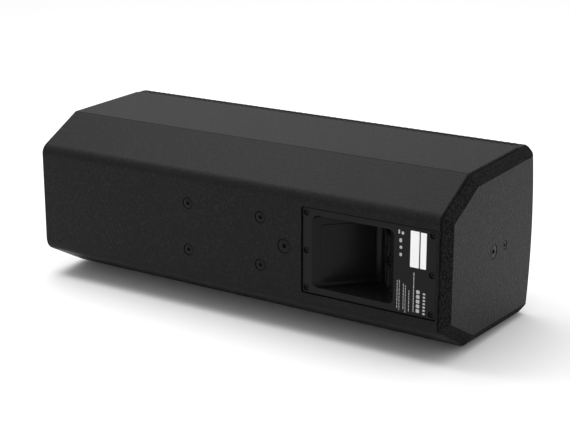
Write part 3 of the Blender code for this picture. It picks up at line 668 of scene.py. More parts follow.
def cone_paper():
    """Pressed paper: short fibres, and pale ones among them."""
    colour = (0.026, 0.025, 0.024)
    material = plain_material("cone paper", colour, 0.85, Sheen_Weight=0.15, Sheen_Roughness=0.5)
    tree = material.node_tree
    where = object_coordinates(tree)
    fibres = noise(tree, stretched(tree, where, (1.0, 1.0, 0.25)), 1400.0, 4.0, 0.7)
    crossed = noise(tree, stretched(tree, where, (0.25, 1.0, 1.0)), 1400.0, 4.0, 0.7)
    felt = maths(tree, "MAXIMUM", fibres, crossed)
    tone = mixed(tree, ramp(tree, felt, 0.55, 0.75), scaled(colour, 0.8), scaled(colour, 2.6))
    return wire(material, Base_Color=tone, Normal=bump(tree, felt, 0.00012))


def spider_cloth():
    """Resin-dipped cloth: an open plain weave, with painted shade darkening it between its threads."""
    amber = (0.50, 0.30, 0.11)
    material = plain_material("spider cloth", amber, 0.75, Sheen_Weight=0.2, Sheen_Roughness=0.4)
    tree = material.node_tree
    where = object_coordinates(tree)
    threads = [
        add(tree, "TexWave", {"Vector": where, "Scale": 190.0, "Distortion": 0.3}, bands_direction=axis).outputs["Fac"]
        for axis in "XZ"
    ]
    weave = maths(tree, "MAXIMUM", *threads)
    stain = noise(tree, where, 60.0, 3.0)
    # painted shade between the threads
    tone = mixed(tree, ramp(tree, weave, 0.3, 0.8), scaled(amber, 0.35), amber)
    tone = mixed(tree, ramp(tree, stain, 0.4, 0.7, 0.0, 0.5), tone, scaled(amber, 0.6))
    return wire(material, Base_Color=tone, Normal=bump(tree, weave, 0.00012))


def copper_winding():
    """Lacquered copper wire laid turn by turn, with painted shade in the grooves between the turns."""
    colour = (0.70, 0.33, 0.16)
    material = plain_material("copper winding", colour, 0.3, 1.0, Coat_Weight=0.5, Coat_Roughness=0.15)
    tree = material.node_tree
    where = object_coordinates(tree)
    turns = [
        add(tree, "TexWave", {"Vector": where, "Scale": 200.0, "Distortion": 0.1}, bands_direction=axis).outputs["Fac"]
        for axis in "YZ"
    ]
    wound = maths(tree, "MULTIPLY", *turns)
    # painted shade: darker where the turns meet
    tone = mixed(tree, wound, scaled(colour, 0.25), colour)
    return wire(material, Base_Color=tone, Normal=bump(tree, wound, 0.00015))


def circuit_board():
    """Green solder mask over copper tracks, which stand a little proud of it."""
    green, track = (0.012, 0.085, 0.028), (0.05, 0.19, 0.05)
    material = plain_material("circuit board", green, 0.35, Coat_Weight=0.3, Coat_Roughness=0.2)
    tree = material.node_tree
    where = object_coordinates(tree)
    layout = {"Scale": 60.0, "Mortar Size": 0.012, "Row Height": 0.22, "Brick Width": 1.1}
    lines = add(tree, "TexBrick", {"Vector": stretched(tree, where, (1.0, 1.0, 0.0)), **layout}).outputs["Fac"]
    tone = mixed(tree, lines, green, track)
    return wire(material, Base_Color=tone, Normal=bump(tree, lines, 0.00004))


def ferrite():
    """Fired ferrite: dull and dark, with small pits darkened as painted shade."""
    colour = (0.035, 0.034, 0.034)
    material = plain_material("ferrite", colour, 0.6)
    tree = material.node_tree
    where = object_coordinates(tree)
    pits = ramp(tree, noise(tree, where, 600.0, 4.0, 0.7), 0.35, 0.5)
    # painted shade in the pits
    tone = mixed(tree, pits, scaled(colour, 0.4), scaled(colour, 1.2))
    return wire(material, Base_Color=tone, Normal=bump(tree, pits, 0.00006))


def floor_material(colour):
    material = plain_material("studio floor", colour, 0.9, Specular_IOR_Level=0.0)
    tree = material.node_tree
    tone = mixed(tree, noise(tree, object_coordinates(tree), 3.0), scaled(colour, 0.995), colour)
    return wire(material, Base_Color=tone)


def finish(name):
    """A finish of the loudspeaker by its slot's name."""
    return bpy.data.materials[f"{name} finish"]


class LOUDSPEAKER_OT_finishes(bpy.types.Operator):
    """Make the procedural finishes, and give them to the CAD nodes that stay as they are"""

    bl_idname = "loudspeaker.finishes"
    bl_label = "Finishes"

    kept = {
        "plywood": ("front_baffle", "brace_left", "brace_right"),
        "foam": ("grille_foam", "panel_gasket", "damping_pad"),
        "plated_steel": ("rigging_plate_rear", "rigging_plate_left", "rigging_plate_right"),
        "circuit_board": ("crossover_board",),
        "coil_copper": ("inductor_low", "inductor_high"),
        "component_film": ("capacitor",),
        "driver_casting": ("resistor",),
    }

    def execute(self, context):
        cabinet, panel = context.scene.loudspeaker_cabinet, context.scene.loudspeaker_panel
        grille = context.scene.loudspeaker_grille
        pebbled_paint_group()
        fine_texture_group()
        brushed_group()
        made = {
            "cabinet_paint": structured_paint("structured paint", cabinet.paint, cabinet.grain, 0.0008, 2.8),
            # paler than the shell's paint: painted light on the end faces
            "cap_paint": structured_paint("cap paint", cabinet.cap_paint, cabinet.grain, 0.0009, 5.4),
            "grille_paint": moulded_plastic("grille powder coat", grille.paint, 0.62, 0.0003, 0.00004,
                                            Specular_IOR_Level=0.05),
            "moulded_plastic": moulded_plastic("moulded plastic", panel.plastic, 0.26, Specular_IOR_Level=0.11),
            "socket_plastic": moulded_plastic("socket plastic", (0.006, 0.006, 0.0064), 0.5, depth=0.00001,
                                              Specular_IOR_Level=0.15),
            "black_steel": metal("black oxide steel", (0.0045, 0.0045, 0.0047), 0.36, metallic=0.1, depth=0.000004,
                                 Specular_IOR_Level=0.14),
            "plated_steel": metal("zinc-plated steel", (0.58, 0.58, 0.55), 0.34),
            "ferrite": ferrite(),
            "plywood": plywood(),
            "foam": open_foam(),
            "cone_paper": cone_paper(),
            "surround_rubber": moulded_plastic("surround rubber", (0.014, 0.014, 0.014), 0.58, 0.0005),
            "spider_cloth": spider_cloth(),
            "coil_copper": copper_winding(),
            "diaphragm_metal": metal("diaphragm titanium", (0.52, 0.50, 0.47), 0.3, 0.08),
            "driver_casting": moulded_plastic("painted casting", (0.045, 0.045, 0.047), 0.5, 0.0009, 0.00012),
            "circuit_board": circuit_board(),
            "component_film": moulded_plastic("film wrap", (0.52, 0.42, 0.06), 0.3, 0.002, 0.00005, Coat_Weight=0.4),
            "label_paper": moulded_plastic("label paper", panel.paper, 0.55, 0.0006, 0.00001),
            "printing_ink": moulded_plastic("printing ink", panel.ink, 0.5, 0.0006, 0.00001),
        }
        for slot, material in made.items():
            material.name = f"{slot} finish"
        for slot, nodes in self.kept.items():
            for node in nodes:
                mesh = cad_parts[node].data
                mesh.materials.clear()
                mesh.materials.append(made[slot])
        return {"FINISHED"}


# Fasteners: head radius, head height, shank radius, hexagon across flats and its depth

M10 = (0.0100, 0.0055, 0.0050, 0.0060, 0.0035)
M8 = (0.0080, 0.0044, 0.0040, 0.0050, 0.0030)
M6 = (0.0060, 0.0033, 0.0030, 0.0040, 0.0025)
M4 = (0.0040, 0.0022, 0.0020, 0.0025, 0.0016)
M3 = (0.0027, 0.0015, 0.0015, 0.0020, 0.0012)


def ring(radius, z, steps=48):
    turns = [2 * math.pi * i / steps for i in range(steps)]
    return [(radius * math.cos(t), radius * math.sin(t), z) for t in turns]


def hexagon(across, z, steps=48):
    sixth = math.pi / 3
    points = []
    for i in range(steps):
        turn = 2 * math.pi * i / steps
        reach = across / 2 / math.cos(math.remainder(turn - sixth / 2, sixth))
        points.append((reach * math.cos(turn), reach * math.sin(turn), z))
    return points


def countersunk(size, length):
    """A countersunk screw with a hexagon socket: its head's face is at z = 0 and its shank runs down -Z."""
    head, head_height, shank, across, socket = size
    edge, chamfer = 0.0003, 0.00035
    loops = [
        hexagon(across * 0.5, -socket * 1.25),
        hexagon(across, -socket),
        hexagon(across, -chamfer),
        ring(across * 0.60, 0),
        ring(head - edge, 0),
        ring(head - edge * 0.3, -edge * 0.3),
        ring(head, -edge),
        ring(head, -2 * edge),
        ring(shank, -head_height),
        ring(shank, chamfer - length),
        ring(shank - chamfer, -length),
    ]
    return sweep(loops)


def countersink(size, length, clearance=0.0008, mouth=0.0003, land=0.0022):
    """The space round a countersunk screw, with a rounded mouth, from a little over the surface."""
    head, head_height, shank = size[:3]
    loops = [ring(head + clearance + mouth, OVER)]
    steps = 4
    for i in range(steps + 1):
        turn = math.pi / 2 * i / steps
        loops.append(ring(head + clearance + mouth * (1 - math.sin(turn)), -mouth * (1 - math.cos(turn))))
    return sweep(loops + [ring(head + clearance, -land), ring(shank + clearance, -head_height - land),
                          ring(shank + clearance, -length)])


def head_at(node, outward):
    """The middle of a CAD screw's head, in the cabinet's frame."""
    low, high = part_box(node)
    outward = Vector(outward)
    at = (low + high) / 2
    for axis in range(3):
        if outward[axis]:
            at[axis] = high[axis] if outward[axis] > 0 else low[axis]
    return CABINET.inverted() @ at


REARWARD = (0, 1, 0)
REAR_SCREWS = {f"rigging_screw_m8_{number}": M8 for number in range(1, 5)} | {"rigging_screw_m10": M10}
PANEL_SCREWS = {f"panel_screw_{number}": M4 for number in range(1, 7)}


def end_screws(side):
    return {f"end_screw_m10_{side}": M10, f"end_screw_m6_{side}": M6}


class LOUDSPEAKER_OT_fasteners(bpy.types.Operator):
    """Make the countersunk screws of the rear face, the end faces and the connector panel"""

    bl_idname = "loudspeaker.fasteners"
    bl_label = "Fasteners"

    def execute(self, context):
        placing = [(REAR_SCREWS, REARWARD), (PANEL_SCREWS, REARWARD)]
        placing += [(end_screws(side), (end, 0, 0)) for side, end in SIDES]
        spread = random.Random(4)
        for screws, outward in placing:
            axis = max(range(3), key=lambda i: abs(outward[i]))
            for node, size in screws.items():
                low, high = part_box(node)
                turn = Matrix.Rotation(spread.uniform(0, math.pi / 3), 4, "Z")
                sunk = 0.0016 if size is M4 else 0.0004
                matrix = CABINET @ facing(head_at(node, outward), outward) @ Matrix.Translation((0, 0, -sunk)) @ turn
                screw = countersunk(size, high[axis] - low[axis])
                add_piece(f"{node}_finished", screw, finish("black_steel"), matrix=matrix, replaces=(node,),
                          slot="black_steel", crease=25)
        return {"FINISHED"}


# Cabinet


def screw_cuts(screws, outward, length):
    return [
        placed(countersink(size, length), facing(at_surface(node, outward), outward)) for node, size in screws.items()
    ]


def at_surface(node, outward):
    """Where a screw's axis passes through the face over its head."""
    at = head_at(node, outward)
    if outward == REARWARD:
        at.y = 0
    else:
        at.x = math.copysign(HALF_LENGTH, outward[0])
    return at


class LOUDSPEAKER_OT_shell(bpy.types.Operator):
    """Make the painted shell, with its rounded edges, the pocket for the connector panel and its screw holes"""

    bl_idname = "loudspeaker.shell"
    bl_label = "Shell"

    def execute(self, context):
        size, panel = context.scene.loudspeaker_cabinet, context.scene.loudspeaker_panel
        steps = 5
        turns = [math.pi / 2 * i / steps for i in range(steps + 1)]
        ends = [(SHELL_HALF - size.edge * (1 - math.cos(t)), size.edge * (1 - math.sin(t))) for t in turns]
        loops = [at_x(self.section(size, inset), -x) for x, inset in ends]
        loops += [at_x(self.section(size, inset), x) for x, inset in reversed(ends)]
        shell = sweep(loops, layer="coarse")
        cuts = [self.pocket(panel), self.dish_window(panel)]
        cuts += screw_cuts(REAR_SCREWS, REARWARD, size.wall + OVER)
        add_piece("cabinet_shell_painted", shell, finish("cabinet_paint"), cuts=cuts, replaces=("cabinet_shell",),
                  slot="cabinet_paint")
        return {"FINISHED"}

    def section(self, size, inset):
        """The shell's section with its outside drawn in, and its front edges rounded."""
        lip, steps = 0.0010, 4
        outer, inner = open_path(inset, size.shell_front), open_path(size.wall, size.shell_front)
        first = fillet(inner[0], outer[0], outer[1], lip, steps)
        last = fillet(outer[-2], outer[-1], inner[-1], lip, steps)
        return first + outer[1:-1] + last + inner[::-1]

    def pocket(self, panel):
        """The pocket that the connector panel lies in, with a rounded mouth."""
        low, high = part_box("connector_panel")
        centre = (middle("panel_gasket").x, 0)
        width = high.x - low.x + 2 * panel.gap
        height = high.z - low.z + 2 * panel.gap
        mouth, steps = 0.0007, 4
        turns = [math.pi / 2 * i / steps for i in range(steps + 1)]
        stations = [(mouth, -OVER)]
        stations += [(mouth * (1 - math.sin(t)), mouth * (1 - math.cos(t))) for t in turns]
        loops = []
        for grow, depth in stations + [(0, panel.recess)]:
            loop = rounded_rectangle(width + 2 * grow, height + 2 * grow, panel.corner + grow, 8, centre)
            loops.append([(x, -depth, z) for x, z in loop])
        return sweep(loops)

    def dish_window(self, panel):
        """The square hole in the rear board behind the dish."""
        steep_gap, floor_gap, side_gap, thick, behind = 0.002, 0.0015, 0.0045, 0.020, 0.0145
        left, right = panel.steep_x - steep_gap, panel.shallow_x + floor_gap
        half = panel.dish_half + side_gap
        bm = bmesh.new()
        bmesh.ops.create_cube(bm, size=1)
        bmesh.ops.scale(bm, vec=(right - left, thick, 2 * half), verts=bm.verts)
        bmesh.ops.translate(bm, vec=((left + right) / 2, -behind, 0), verts=bm.verts)
        return bm


class LOUDSPEAKER_OT_end_caps(bpy.types.Operator):
    """Make the bevelled end caps, coarse on the bevel and fine on the end face"""

    bl_idname = "loudspeaker.end_caps"
    bl_label = "End caps"

    def execute(self, context):
        size = context.scene.loudspeaker_cabinet
        plug_length, plug_inset, plug_front = 0.012, size.wall + 0.0003, 0.050
        neck, neck_inset, screw_depth = 0.0007, 0.0018, 0.0275
        stations = [(-plug_length, plug_inset, plug_front), (0, plug_inset, plug_front)]
        stations += [(0, neck_inset, neck_inset), (neck, neck_inset, neck_inset)]
        for side, end in SIDES:
            loops = [at_x(outline(inset, across), end * (SHELL_HALF + out)) for out, inset, across in stations]
            for out, inset, coarse in self.bevel_path(size, neck):
                bulge = 1 - math.sqrt(1 - min(out / size.bevel_length, 1) ** 2)
                across = size.front_bevel_inset * bulge + inset - min(inset, size.bevel_inset)
                loops.append([(end * (SHELL_HALF + out), -p.x, p.y, coarse) for p in outline(inset, across)])
            cuts = screw_cuts(end_screws(side), (end, 0, 0), screw_depth)
            add_piece(f"end_cap_{side}_painted", sweep(loops, layer="coarse"), finish("cap_paint"), cuts=cuts,
                      replaces=(f"end_cap_{side}",), slot="cap_paint", crease=24)
        return {"FINISHED"}

    def bevel_path(self, size, neck):
        """The bevel from the rim to the end face, as (distance out of the shell, inset, share of coarse grain)."""
        rim, shoulder = point(neck, 0), point(size.bevel_length, size.bevel_inset)
        foot = fillet(point(neck, size.bevel_inset), rim, shoulder, size.edge, 4)
        head = fillet(rim, shoulder, point(size.bevel_length, 2 * size.bevel_inset), size.edge, 6)
        steps, fine = 7, 0.0006
        between = [foot[-1].lerp(head[0], i / steps) for i in range(1, steps)]
        path = [(p.x, p.y, 1.0) for p in foot + between + head]
        return path + [(path[-1][0], path[-1][1] + fine, 0.0)]


class LOUDSPEAKER_OT_grille(bpy.types.Operator):
    """Make the perforated steel grille, folded round the cabinet's front"""

    bl_idname = "loudspeaker.grille"
    bl_label = "Grille"

    def execute(self, context):
        size = context.scene.loudspeaker_grille
        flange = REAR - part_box("front_grille")[1].y
        path = front_path(size.inset, size.bow_inset, flange, size.bend)
        steps = [(b - a).length for a, b in zip(path, path[1:])]
        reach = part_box("front_grille")[1].x
        bm = self.perforated(2 * reach, sum(steps), size)
        self.fold(bm, path, steps)
        bmesh.ops.recalc_face_normals(bm, faces=bm.faces)
        outward = max(bm.faces, key=lambda face: -face.calc_center_median().y)
        if outward.normal.y > 0:
            bmesh.ops.reverse_faces(bm, faces=bm.faces)
        bmesh.ops.solidify(bm, geom=bm.verts[:] + bm.edges[:] + bm.faces[:], thickness=size.sheet)
        add_piece("front_grille_perforated", bm, finish("grille_paint"), replaces=("front_grille",),
                  slot="grille_paint", crease=40)
        return {"FINISHED"}

    def perforated(self, wide, tall, size):
        """A flat sheet in the XY plane: hexagons opened by bevelling their edges, inside a plain margin."""
        corner = size.pitch / math.sqrt(3)
        columns = 2 * int(wide / (1.5 * corner) / 2) - 1
        rows = int(tall / size.pitch) - 1
        bm = bmesh.new()
        for column in range(columns):
            for row in range(rows - column % 2):
                x = (column - (columns - 1) / 2) * 1.5 * corner
                y = (row - (rows - 1) / 2 + column % 2 / 2) * size.pitch
                bmesh.ops.create_circle(bm, cap_ends=True, radius=corner, segments=6,
                                        matrix=Matrix.Translation((x, y, 0)) @ Matrix.Rotation(math.pi / 2, 4, "Z"))
        bmesh.ops.remove_doubles(bm, verts=bm.verts, dist=corner / 20)
        inner = [edge for edge in bm.edges if not edge.is_boundary]
        bmesh.ops.bevel(bm, geom=inner, offset=size.web / 2, segments=1, profile=0.5, affect="EDGES", material=-1)
        rim = {face for face in bm.faces for vert in face.verts if vert.is_boundary}
        holes = [face for face in bm.faces if len(face.verts) == 6 and face not in rim]
        bmesh.ops.delete(bm, geom=holes, context="FACES_ONLY")
        self.margin(bm, wide / 2, tall / 2, size.pitch)
        return bm

    def margin(self, bm, half_wide, half_tall, pitch):
        """Draws the ragged outer edge out to a straight one on all four sides."""
        ragged_x, ragged_y = 0.5 * pitch, 0.8 * pitch
        far_x = max(abs(vert.co.x) for vert in bm.verts) - ragged_x
        far_y = max(abs(vert.co.y) for vert in bm.verts) - ragged_y

        def outer(vert):
            return abs(vert.co.x) > far_x or abs(vert.co.y) > far_y

        border = [edge for edge in bm.edges if edge.is_boundary and all(outer(vert) for vert in edge.verts)]
        for vert in verts_in(bmesh.ops.extrude_edge_only(bm, edges=border)["geom"]):
            near_x, near_y = abs(vert.co.x) > far_x, abs(vert.co.y) > far_y
            if near_x:
                vert.co.x = math.copysign(half_wide, vert.co.x)
            if near_y:
                vert.co.y = math.copysign(half_tall, vert.co.y)

    def fold(self, bm, path, steps):
        """Lays the flat sheet along the section, from its upper flange to its lower one."""
        marks = [0.0]
        for step in steps:
            marks.append(marks[-1] + step)
        for vert in bm.verts:
            run = min(max(vert.co.y + marks[-1] / 2, 0.0), marks[-1])
            at = max(i for i, mark in enumerate(marks[:-1]) if mark <= run)
            spot = path[at].lerp(path[at + 1], (run - marks[at]) / steps[at])
            vert.co = (vert.co.x, -spot.x, spot.y)


# Connector panel


def dish_lines(panel):
    """The dish's two slopes as (x, depth) lines, and the circle that rounds their fold."""
    floor_start = Vector((panel.shallow_x, panel.sink))
    steep_start = Vector((panel.steep_x, panel.sink))
    fold = Vector((panel.fold_x, panel.dish_depth))
    floor, steep = (floor_start - fold).normalized(), (steep_start - fold).normalized()
    half = floor.angle(steep) / 2
    centre = fold + (floor + steep).normalized() * (panel.fold_round / math.sin(half))
    return floor_start, steep_start, floor, steep, centre


def rim_offset(depth, slope, radius):
    """How far a wall of that slope stands from its sharp corner, at a depth under the face, with a rounded rim."""
    if depth < radius * (1 - math.cos(slope)):
        return radius * (math.sin(math.acos(1 - depth / radius)) - math.tan(slope / 2))
    return depth / math.tan(slope)


def dish_loop(panel, depth, grow):
    """The dish's section at a depth, grown outwards by a wall: a rounded rectangle in the plane of the rear face."""
    floor_start, steep_start, floor, steep, centre = dish_lines(panel)
    under = depth - panel.sink
    bend = panel.fold_round + grow
    slopes = [math.atan2(-line.y, abs(line.x)) for line in (floor, steep)]
    reaches = []
    for start, line, slope, sign in ((floor_start, floor, slopes[0], 1), (steep_start, steep, slopes[1], -1)):
        tangent = centre.y + bend * math.cos(slope)
        if depth < tangent:
            offset = under / math.tan(slope) if grow else rim_offset(under, slope, panel.rim)
            reaches.append(start.x - sign * (offset - grow / math.sin(slope)))
        else:
            reaches.append(centre.x + sign * math.sqrt(max(bend**2 - (depth - centre.y) ** 2, 0)))
    high, low = reaches
    flare = 0 if grow or under >= panel.rim else -rim_offset(under, math.pi / 2, panel.rim)
    half = panel.dish_half + grow + flare
    corner_depth = 0.014
    fade = min(max(under / corner_depth, 0), 1)
    corner = panel.dish_corner + (panel.dish_root - panel.dish_corner) * fade
    corner = min(corner + grow + flare, (high - low) / 2 * 0.999)
    loop = rounded_rectangle(high - low, 2 * half, max(corner, 1e-6), 8, ((high + low) / 2, 0))
    return [(x, -depth, z) for x, z in loop]


def dish_loops(panel, grow):
    """Loops from the dish's mouth down to its fold."""
    *_, centre = dish_lines(panel)
    start = panel.sink + (panel.thick if grow else 0)
    bottom = centre.y + panel.fold_round + grow
    depths = []
    if not grow:
        rim_steps = 7
        depths = [start + panel.rim * (1 - math.cos(math.pi / 2 * i / rim_steps)) for i in range(rim_steps)]
        start += panel.rim
    straight, bends, curve_share = 14, 12, 0.62
    curve_top = centre.y + (panel.fold_round + grow) * curve_share
    depths += [start + (curve_top - start) * i / straight for i in range(straight)]
    first = math.asin(curve_share)
    depths += [
        centre.y + (panel.fold_round + grow) * math.sin(first + (math.pi / 2 - first) * i / bends) for i in range(bends)
    ]
    return [dish_loop(panel, depth, grow) for depth in depths] + [dish_loop(panel, bottom, grow)]


def socket_frames():
    """Where each socket sits on the steep wall, from its CAD node, facing out of the wall."""
    panel = bpy.context.scene.loudspeaker_panel
    _, steep_start, _, steep, _ = dish_lines(panel)
    outward = Vector((-steep.y, -steep.x, 0))
    frames = []
    for number in (1, 2):
        at = CABINET.inverted() @ middle(f"plug_socket_{number}")
        wall = Vector((steep_start.x, -steep_start.y, 0))
        at = at - outward * (at - wall).dot(outward)
        frames.append((number, facing(at, outward)))
    return frames


class LOUDSPEAKER_OT_panel(bpy.types.Operator):
    """Make the moulded connector panel with its dish, and its blank labels and printed marks"""

    bl_idname = "loudspeaker.panel"
    bl_label = "Connector panel"

    def execute(self, context):
        panel = context.scene.loudspeaker_panel
        low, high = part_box("connector_panel")
        width, height = high.x - low.x, high.z - low.z
        centre = (middle("panel_gasket").x, 0)
        edge = 0.0007

        def rim_loop(inset, depth):
            loop = rounded_rectangle(width - 2 * inset, height - 2 * inset, panel.corner - inset, 8, centre)
            return [(x, -depth, z) for x, z in loop]

        inside = dish_loops(panel, 0)[::-1]
        outside = dish_loops(panel, panel.thick)
        turns = [math.pi / 2 * i / 4 for i in range(5)]
        rims = [rim_loop(edge * (1 - math.sin(t)), panel.sink + edge * (1 - math.cos(t))) for t in turns]
        back = [rim_loop(0, panel.sink + panel.thick)]
        body = sweep(inside + rims + back + outside, ends=False)
        cuts = [self.screw_seat(node) for node in PANEL_SCREWS]
        for _, place in socket_frames():
            bore = sweep([ring(0.0124, 0.004, 48), ring(0.0124, -0.010, 48)])
            cuts.append(placed(bore, place))
        add_piece("connector_panel_moulded", body, finish("moulded_plastic"), cuts=cuts, joins=[self.raised_pad(panel)],
                  replaces=("connector_panel",), slot="moulded_plastic")
        self.labels(panel)
        return {"FINISHED"}

    def screw_seat(self, node):
        """A counterbore with a rounded mouth over a clearance hole."""
        at = head_at(node, REARWARD)
        at.y = -bpy.context.scene.loudspeaker_panel.sink
        radius, depth, mouth, shank = 0.0048, 0.0022, 0.0004, M4[2] + 0.0004
        loops = [ring(radius + mouth, OVER)]
        for i in range(5):
            turn = math.pi / 2 * i / 4
            loops.append(ring(radius + mouth * (1 - math.sin(turn)), -mouth * (1 - math.cos(turn))))
        loops += [ring(radius, -depth), ring(M4[0], -depth), ring(shank, -depth - M4[1]), ring(shank, -0.006)]
        return placed(sweep(loops), facing(at, REARWARD))

    def raised_pad(self, panel):
        """The low raised field on the sloped floor."""
        floor_start, _, floor, _, _ = dish_lines(panel)
        along = -Vector((floor.x, -floor.y, 0))
        outward = Vector((along.y, -along.x, 0))
        start, reach, half, lower, raise_by, sunk = 0.012, 0.079, 0.0385, 0.0020, 0.0009, 0.0010
        at = Vector((floor_start.x, -floor_start.y, -lower)) + along * (start + reach / 2) - outward * sunk
        turn = Matrix((along, (0, 0, 1), outward)).transposed().to_4x4()
        pad = soft_block(reach, 2 * half, raise_by + sunk, 0.0045, 0.0006, 6, 4)
        return placed(pad, Matrix.Translation(at) @ turn)

    def labels(self, panel):
        """Two blank paper labels, and plain bars and shapes where a maker's printing would be."""
        skin, lift = 0.00012, 0.00002
        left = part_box("connector_panel")[0].x

        def flat(x, z, wide, tall, thick=skin, corner=0.0006):
            block = soft_block(wide, tall, thick, min(corner, wide / 2.2, tall / 2.2), thick / 3, 3, 1)
            return placed(block, facing((left + x, -panel.sink + lift, z), REARWARD))

        papers = [flat(0.0327, 0.0311, 0.0131, 0.0500), flat(0.0199, 0.0309, 0.0088, 0.0496)]
        add_piece("panel_labels", joined(papers), finish("label_paper"))
        ink = skin / 2
        marks = []
        for x, top, bottom, wide in ((0.0330, -0.001, -0.055, 0.0012), (0.0399, -0.027, -0.055, 0.0009),
                                     (0.0452, -0.021, -0.056, 0.0009), (0.0483, -0.019, -0.053, 0.0009),
                                     (0.0545, -0.015, -0.056, 0.0009), (0.0577, -0.016, -0.051, 0.0009)):
            marks += self.print_line(flat, x, top, bottom, wide, ink)
        for i in range(5):
            marks.append(flat(0.0264, -0.0268 - 0.0066 * i, 0.0052, 0.0050, ink, 0.0012))
        for i in range(7):
            marks.append(flat(0.0172, -0.0280 - 0.0046 * i, 0.0036, 0.0026, ink, 0.0008))
        for x, z, wide, tall in ((0.0565, 0.0515, 0.0022, 0.0058), (0.0510, 0.0505, 0.0036, 0.0040),
                                 (0.0540, 0.0400, 0.0038, 0.0052), (0.0535, 0.0305, 0.0038, 0.0040),
                                 (0.0535, 0.0205, 0.0036, 0.0046)):
            marks.append(flat(x, z, wide, tall, ink, 0.0009))
        add_piece("panel_printing", joined(marks), finish("printing_ink"))

    def print_line(self, flat, x, top, bottom, wide, ink):
        """A row of short bars, as long as words, with gaps between them."""
        spread = random.Random(x)
        bars, at, gap, shortest, longest = [], top, 0.0009, 0.0015, 0.0052
        while at > bottom:
            word = spread.uniform(shortest, longest)
            bars.append(flat(x, at - word / 2, wide, word, ink, 0.0002))
            at -= word + gap
        return bars


class LOUDSPEAKER_OT_sockets(bpy.types.Operator):
    """Make the two twist-lock sockets on the dish's steep wall"""

    bl_idname = "loudspeaker.sockets"
    bl_label = "Sockets"

    def execute(self, context):
        for number, place in socket_frames():
            matrix = CABINET @ place
            add_piece(f"plug_socket_{number}_moulded", self.socket(), finish("socket_plastic"), matrix=matrix,
                      replaces=(f"plug_socket_{number}",), slot="socket_plastic", cuts=self.keyways(), crease=28)
            add_piece(f"socket_contacts_{number}", joined(self.contacts()), finish("coil_copper"), matrix=matrix,
                      slot="coil_copper")
            screws = [
                placed(countersunk(M3, 0.008), Matrix.Translation((side * 0.0098, side * 0.0121, 0.0030)))
                for side in (-1, 1)
            ]
            add_piece(f"socket_screws_{number}", joined(screws), finish("black_steel"), matrix=matrix,
                      slot="black_steel", crease=25)
        return {"FINISHED"}

    def socket(self):
        """A flange with a rounded edge, and a barrel with an annular cavity round a hollow core."""
        lift, flange, barrel, cavity, floor, behind = 0.0003, 0.0025, 0.0120, 0.0102, 0.010, 0.020
        core, bore, edge = 0.0058, 0.0042, 0.0004
        wide, tall, corner, steps = 0.026, 0.031, 0.004, 11
        top = lift + flange
        turns = [math.atan2(y, x) for x, y in rounded_rectangle(wide, tall, corner, steps)]

        def disc(radius, z):
            return [(radius * math.cos(t), radius * math.sin(t), z) for t in turns]

        def square(inset, z):
            loop = rounded_rectangle(wide - 2 * inset, tall - 2 * inset, corner - inset, steps)
            return [(x, y, z) for x, y in loop]

        loops = [
            disc(0.0004, -floor + top), disc(bore, -floor + top), disc(bore, -0.0032 + top),
            disc(bore + 0.0003, -0.0029 + top), disc(core - 0.0003, -0.0029 + top), disc(core, -0.0032 + top),
            disc(core, -floor + top),
            disc(cavity, -floor + top), disc(cavity, -0.0005 + top), disc(cavity + 0.0005, top),
            disc(cavity + 0.0011, top), disc(cavity + 0.0011, top + 0.0004), disc(cavity + 0.0016, top + 0.0004),
            disc(cavity + 0.0016, top), square(edge, top), square(edge * 0.3, top - edge * 0.3), square(0, top - edge),
            square(0, lift), disc(barrel, lift), disc(barrel, -behind + edge), disc(barrel - edge, -behind),
        ]
        return sweep(loops)

    def keyways(self):
        """Two keyways in the cavity's wall."""
        cuts = []
        for turn, reach, wide in ((0.5, 0.0103, 0.0040), (3.6, 0.0103, 0.0024)):
            bm = bmesh.new()
            bmesh.ops.create_cube(bm, size=1)
            bmesh.ops.scale(bm, vec=(0.0018, wide, 0.0100), verts=bm.verts)
            bmesh.ops.bevel(bm, geom=bm.edges[:], offset=0.0002, segments=1, profile=0.5, affect="EDGES", material=-1)
            bmesh.ops.translate(bm, vec=(reach, 0, 0.0004), verts=bm.verts)
            cuts.append(placed(bm, Matrix.Rotation(turn, 4, "Z")))
        return cuts

    def contacts(self):
        """Four contact strips on the outside of the core."""
        strips = []
        for i in range(4):
            bm = bmesh.new()
            bmesh.ops.create_cube(bm, size=1)
            bmesh.ops.scale(bm, vec=(0.0005, 0.0028, 0.0052), verts=bm.verts)
            bmesh.ops.bevel(bm, geom=bm.edges[:], offset=0.0001, segments=1, profile=0.5, affect="EDGES", material=-1)
            bmesh.ops.translate(bm, vec=(0.00615, 0, -0.0038), verts=bm.verts)
            strips.append(placed(bm, Matrix.Rotation(math.pi / 2 * i + 0.4, 4, "Z")))
        return strips


# Drivers. Profiles are (radius, distance behind the baffle's front face).


def softened(profile, radius, steps=3):
    """A profile with its corners rounded, but for corners too flat or too short for it, and points on the axis."""
    points = [point(*p) for p in profile]
    soft = []
    for before, corner, after in zip(points[-1:] + points, points, points[1:] + points[:1]):
        a, b = before - corner, after - corner
        turn = a.angle(b) if a.length and b.length else math.pi
        reach = radius / math.tan(turn / 2) if turn else 0
        if corner.x < radius or math.degrees(turn) > 150 or reach > 0.45 * min(a.length, b.length):
            soft.append(corner)
        else:
            soft += fillet(before, corner, after, radius, steps)
    return [(p.x, p.y) for p in soft]


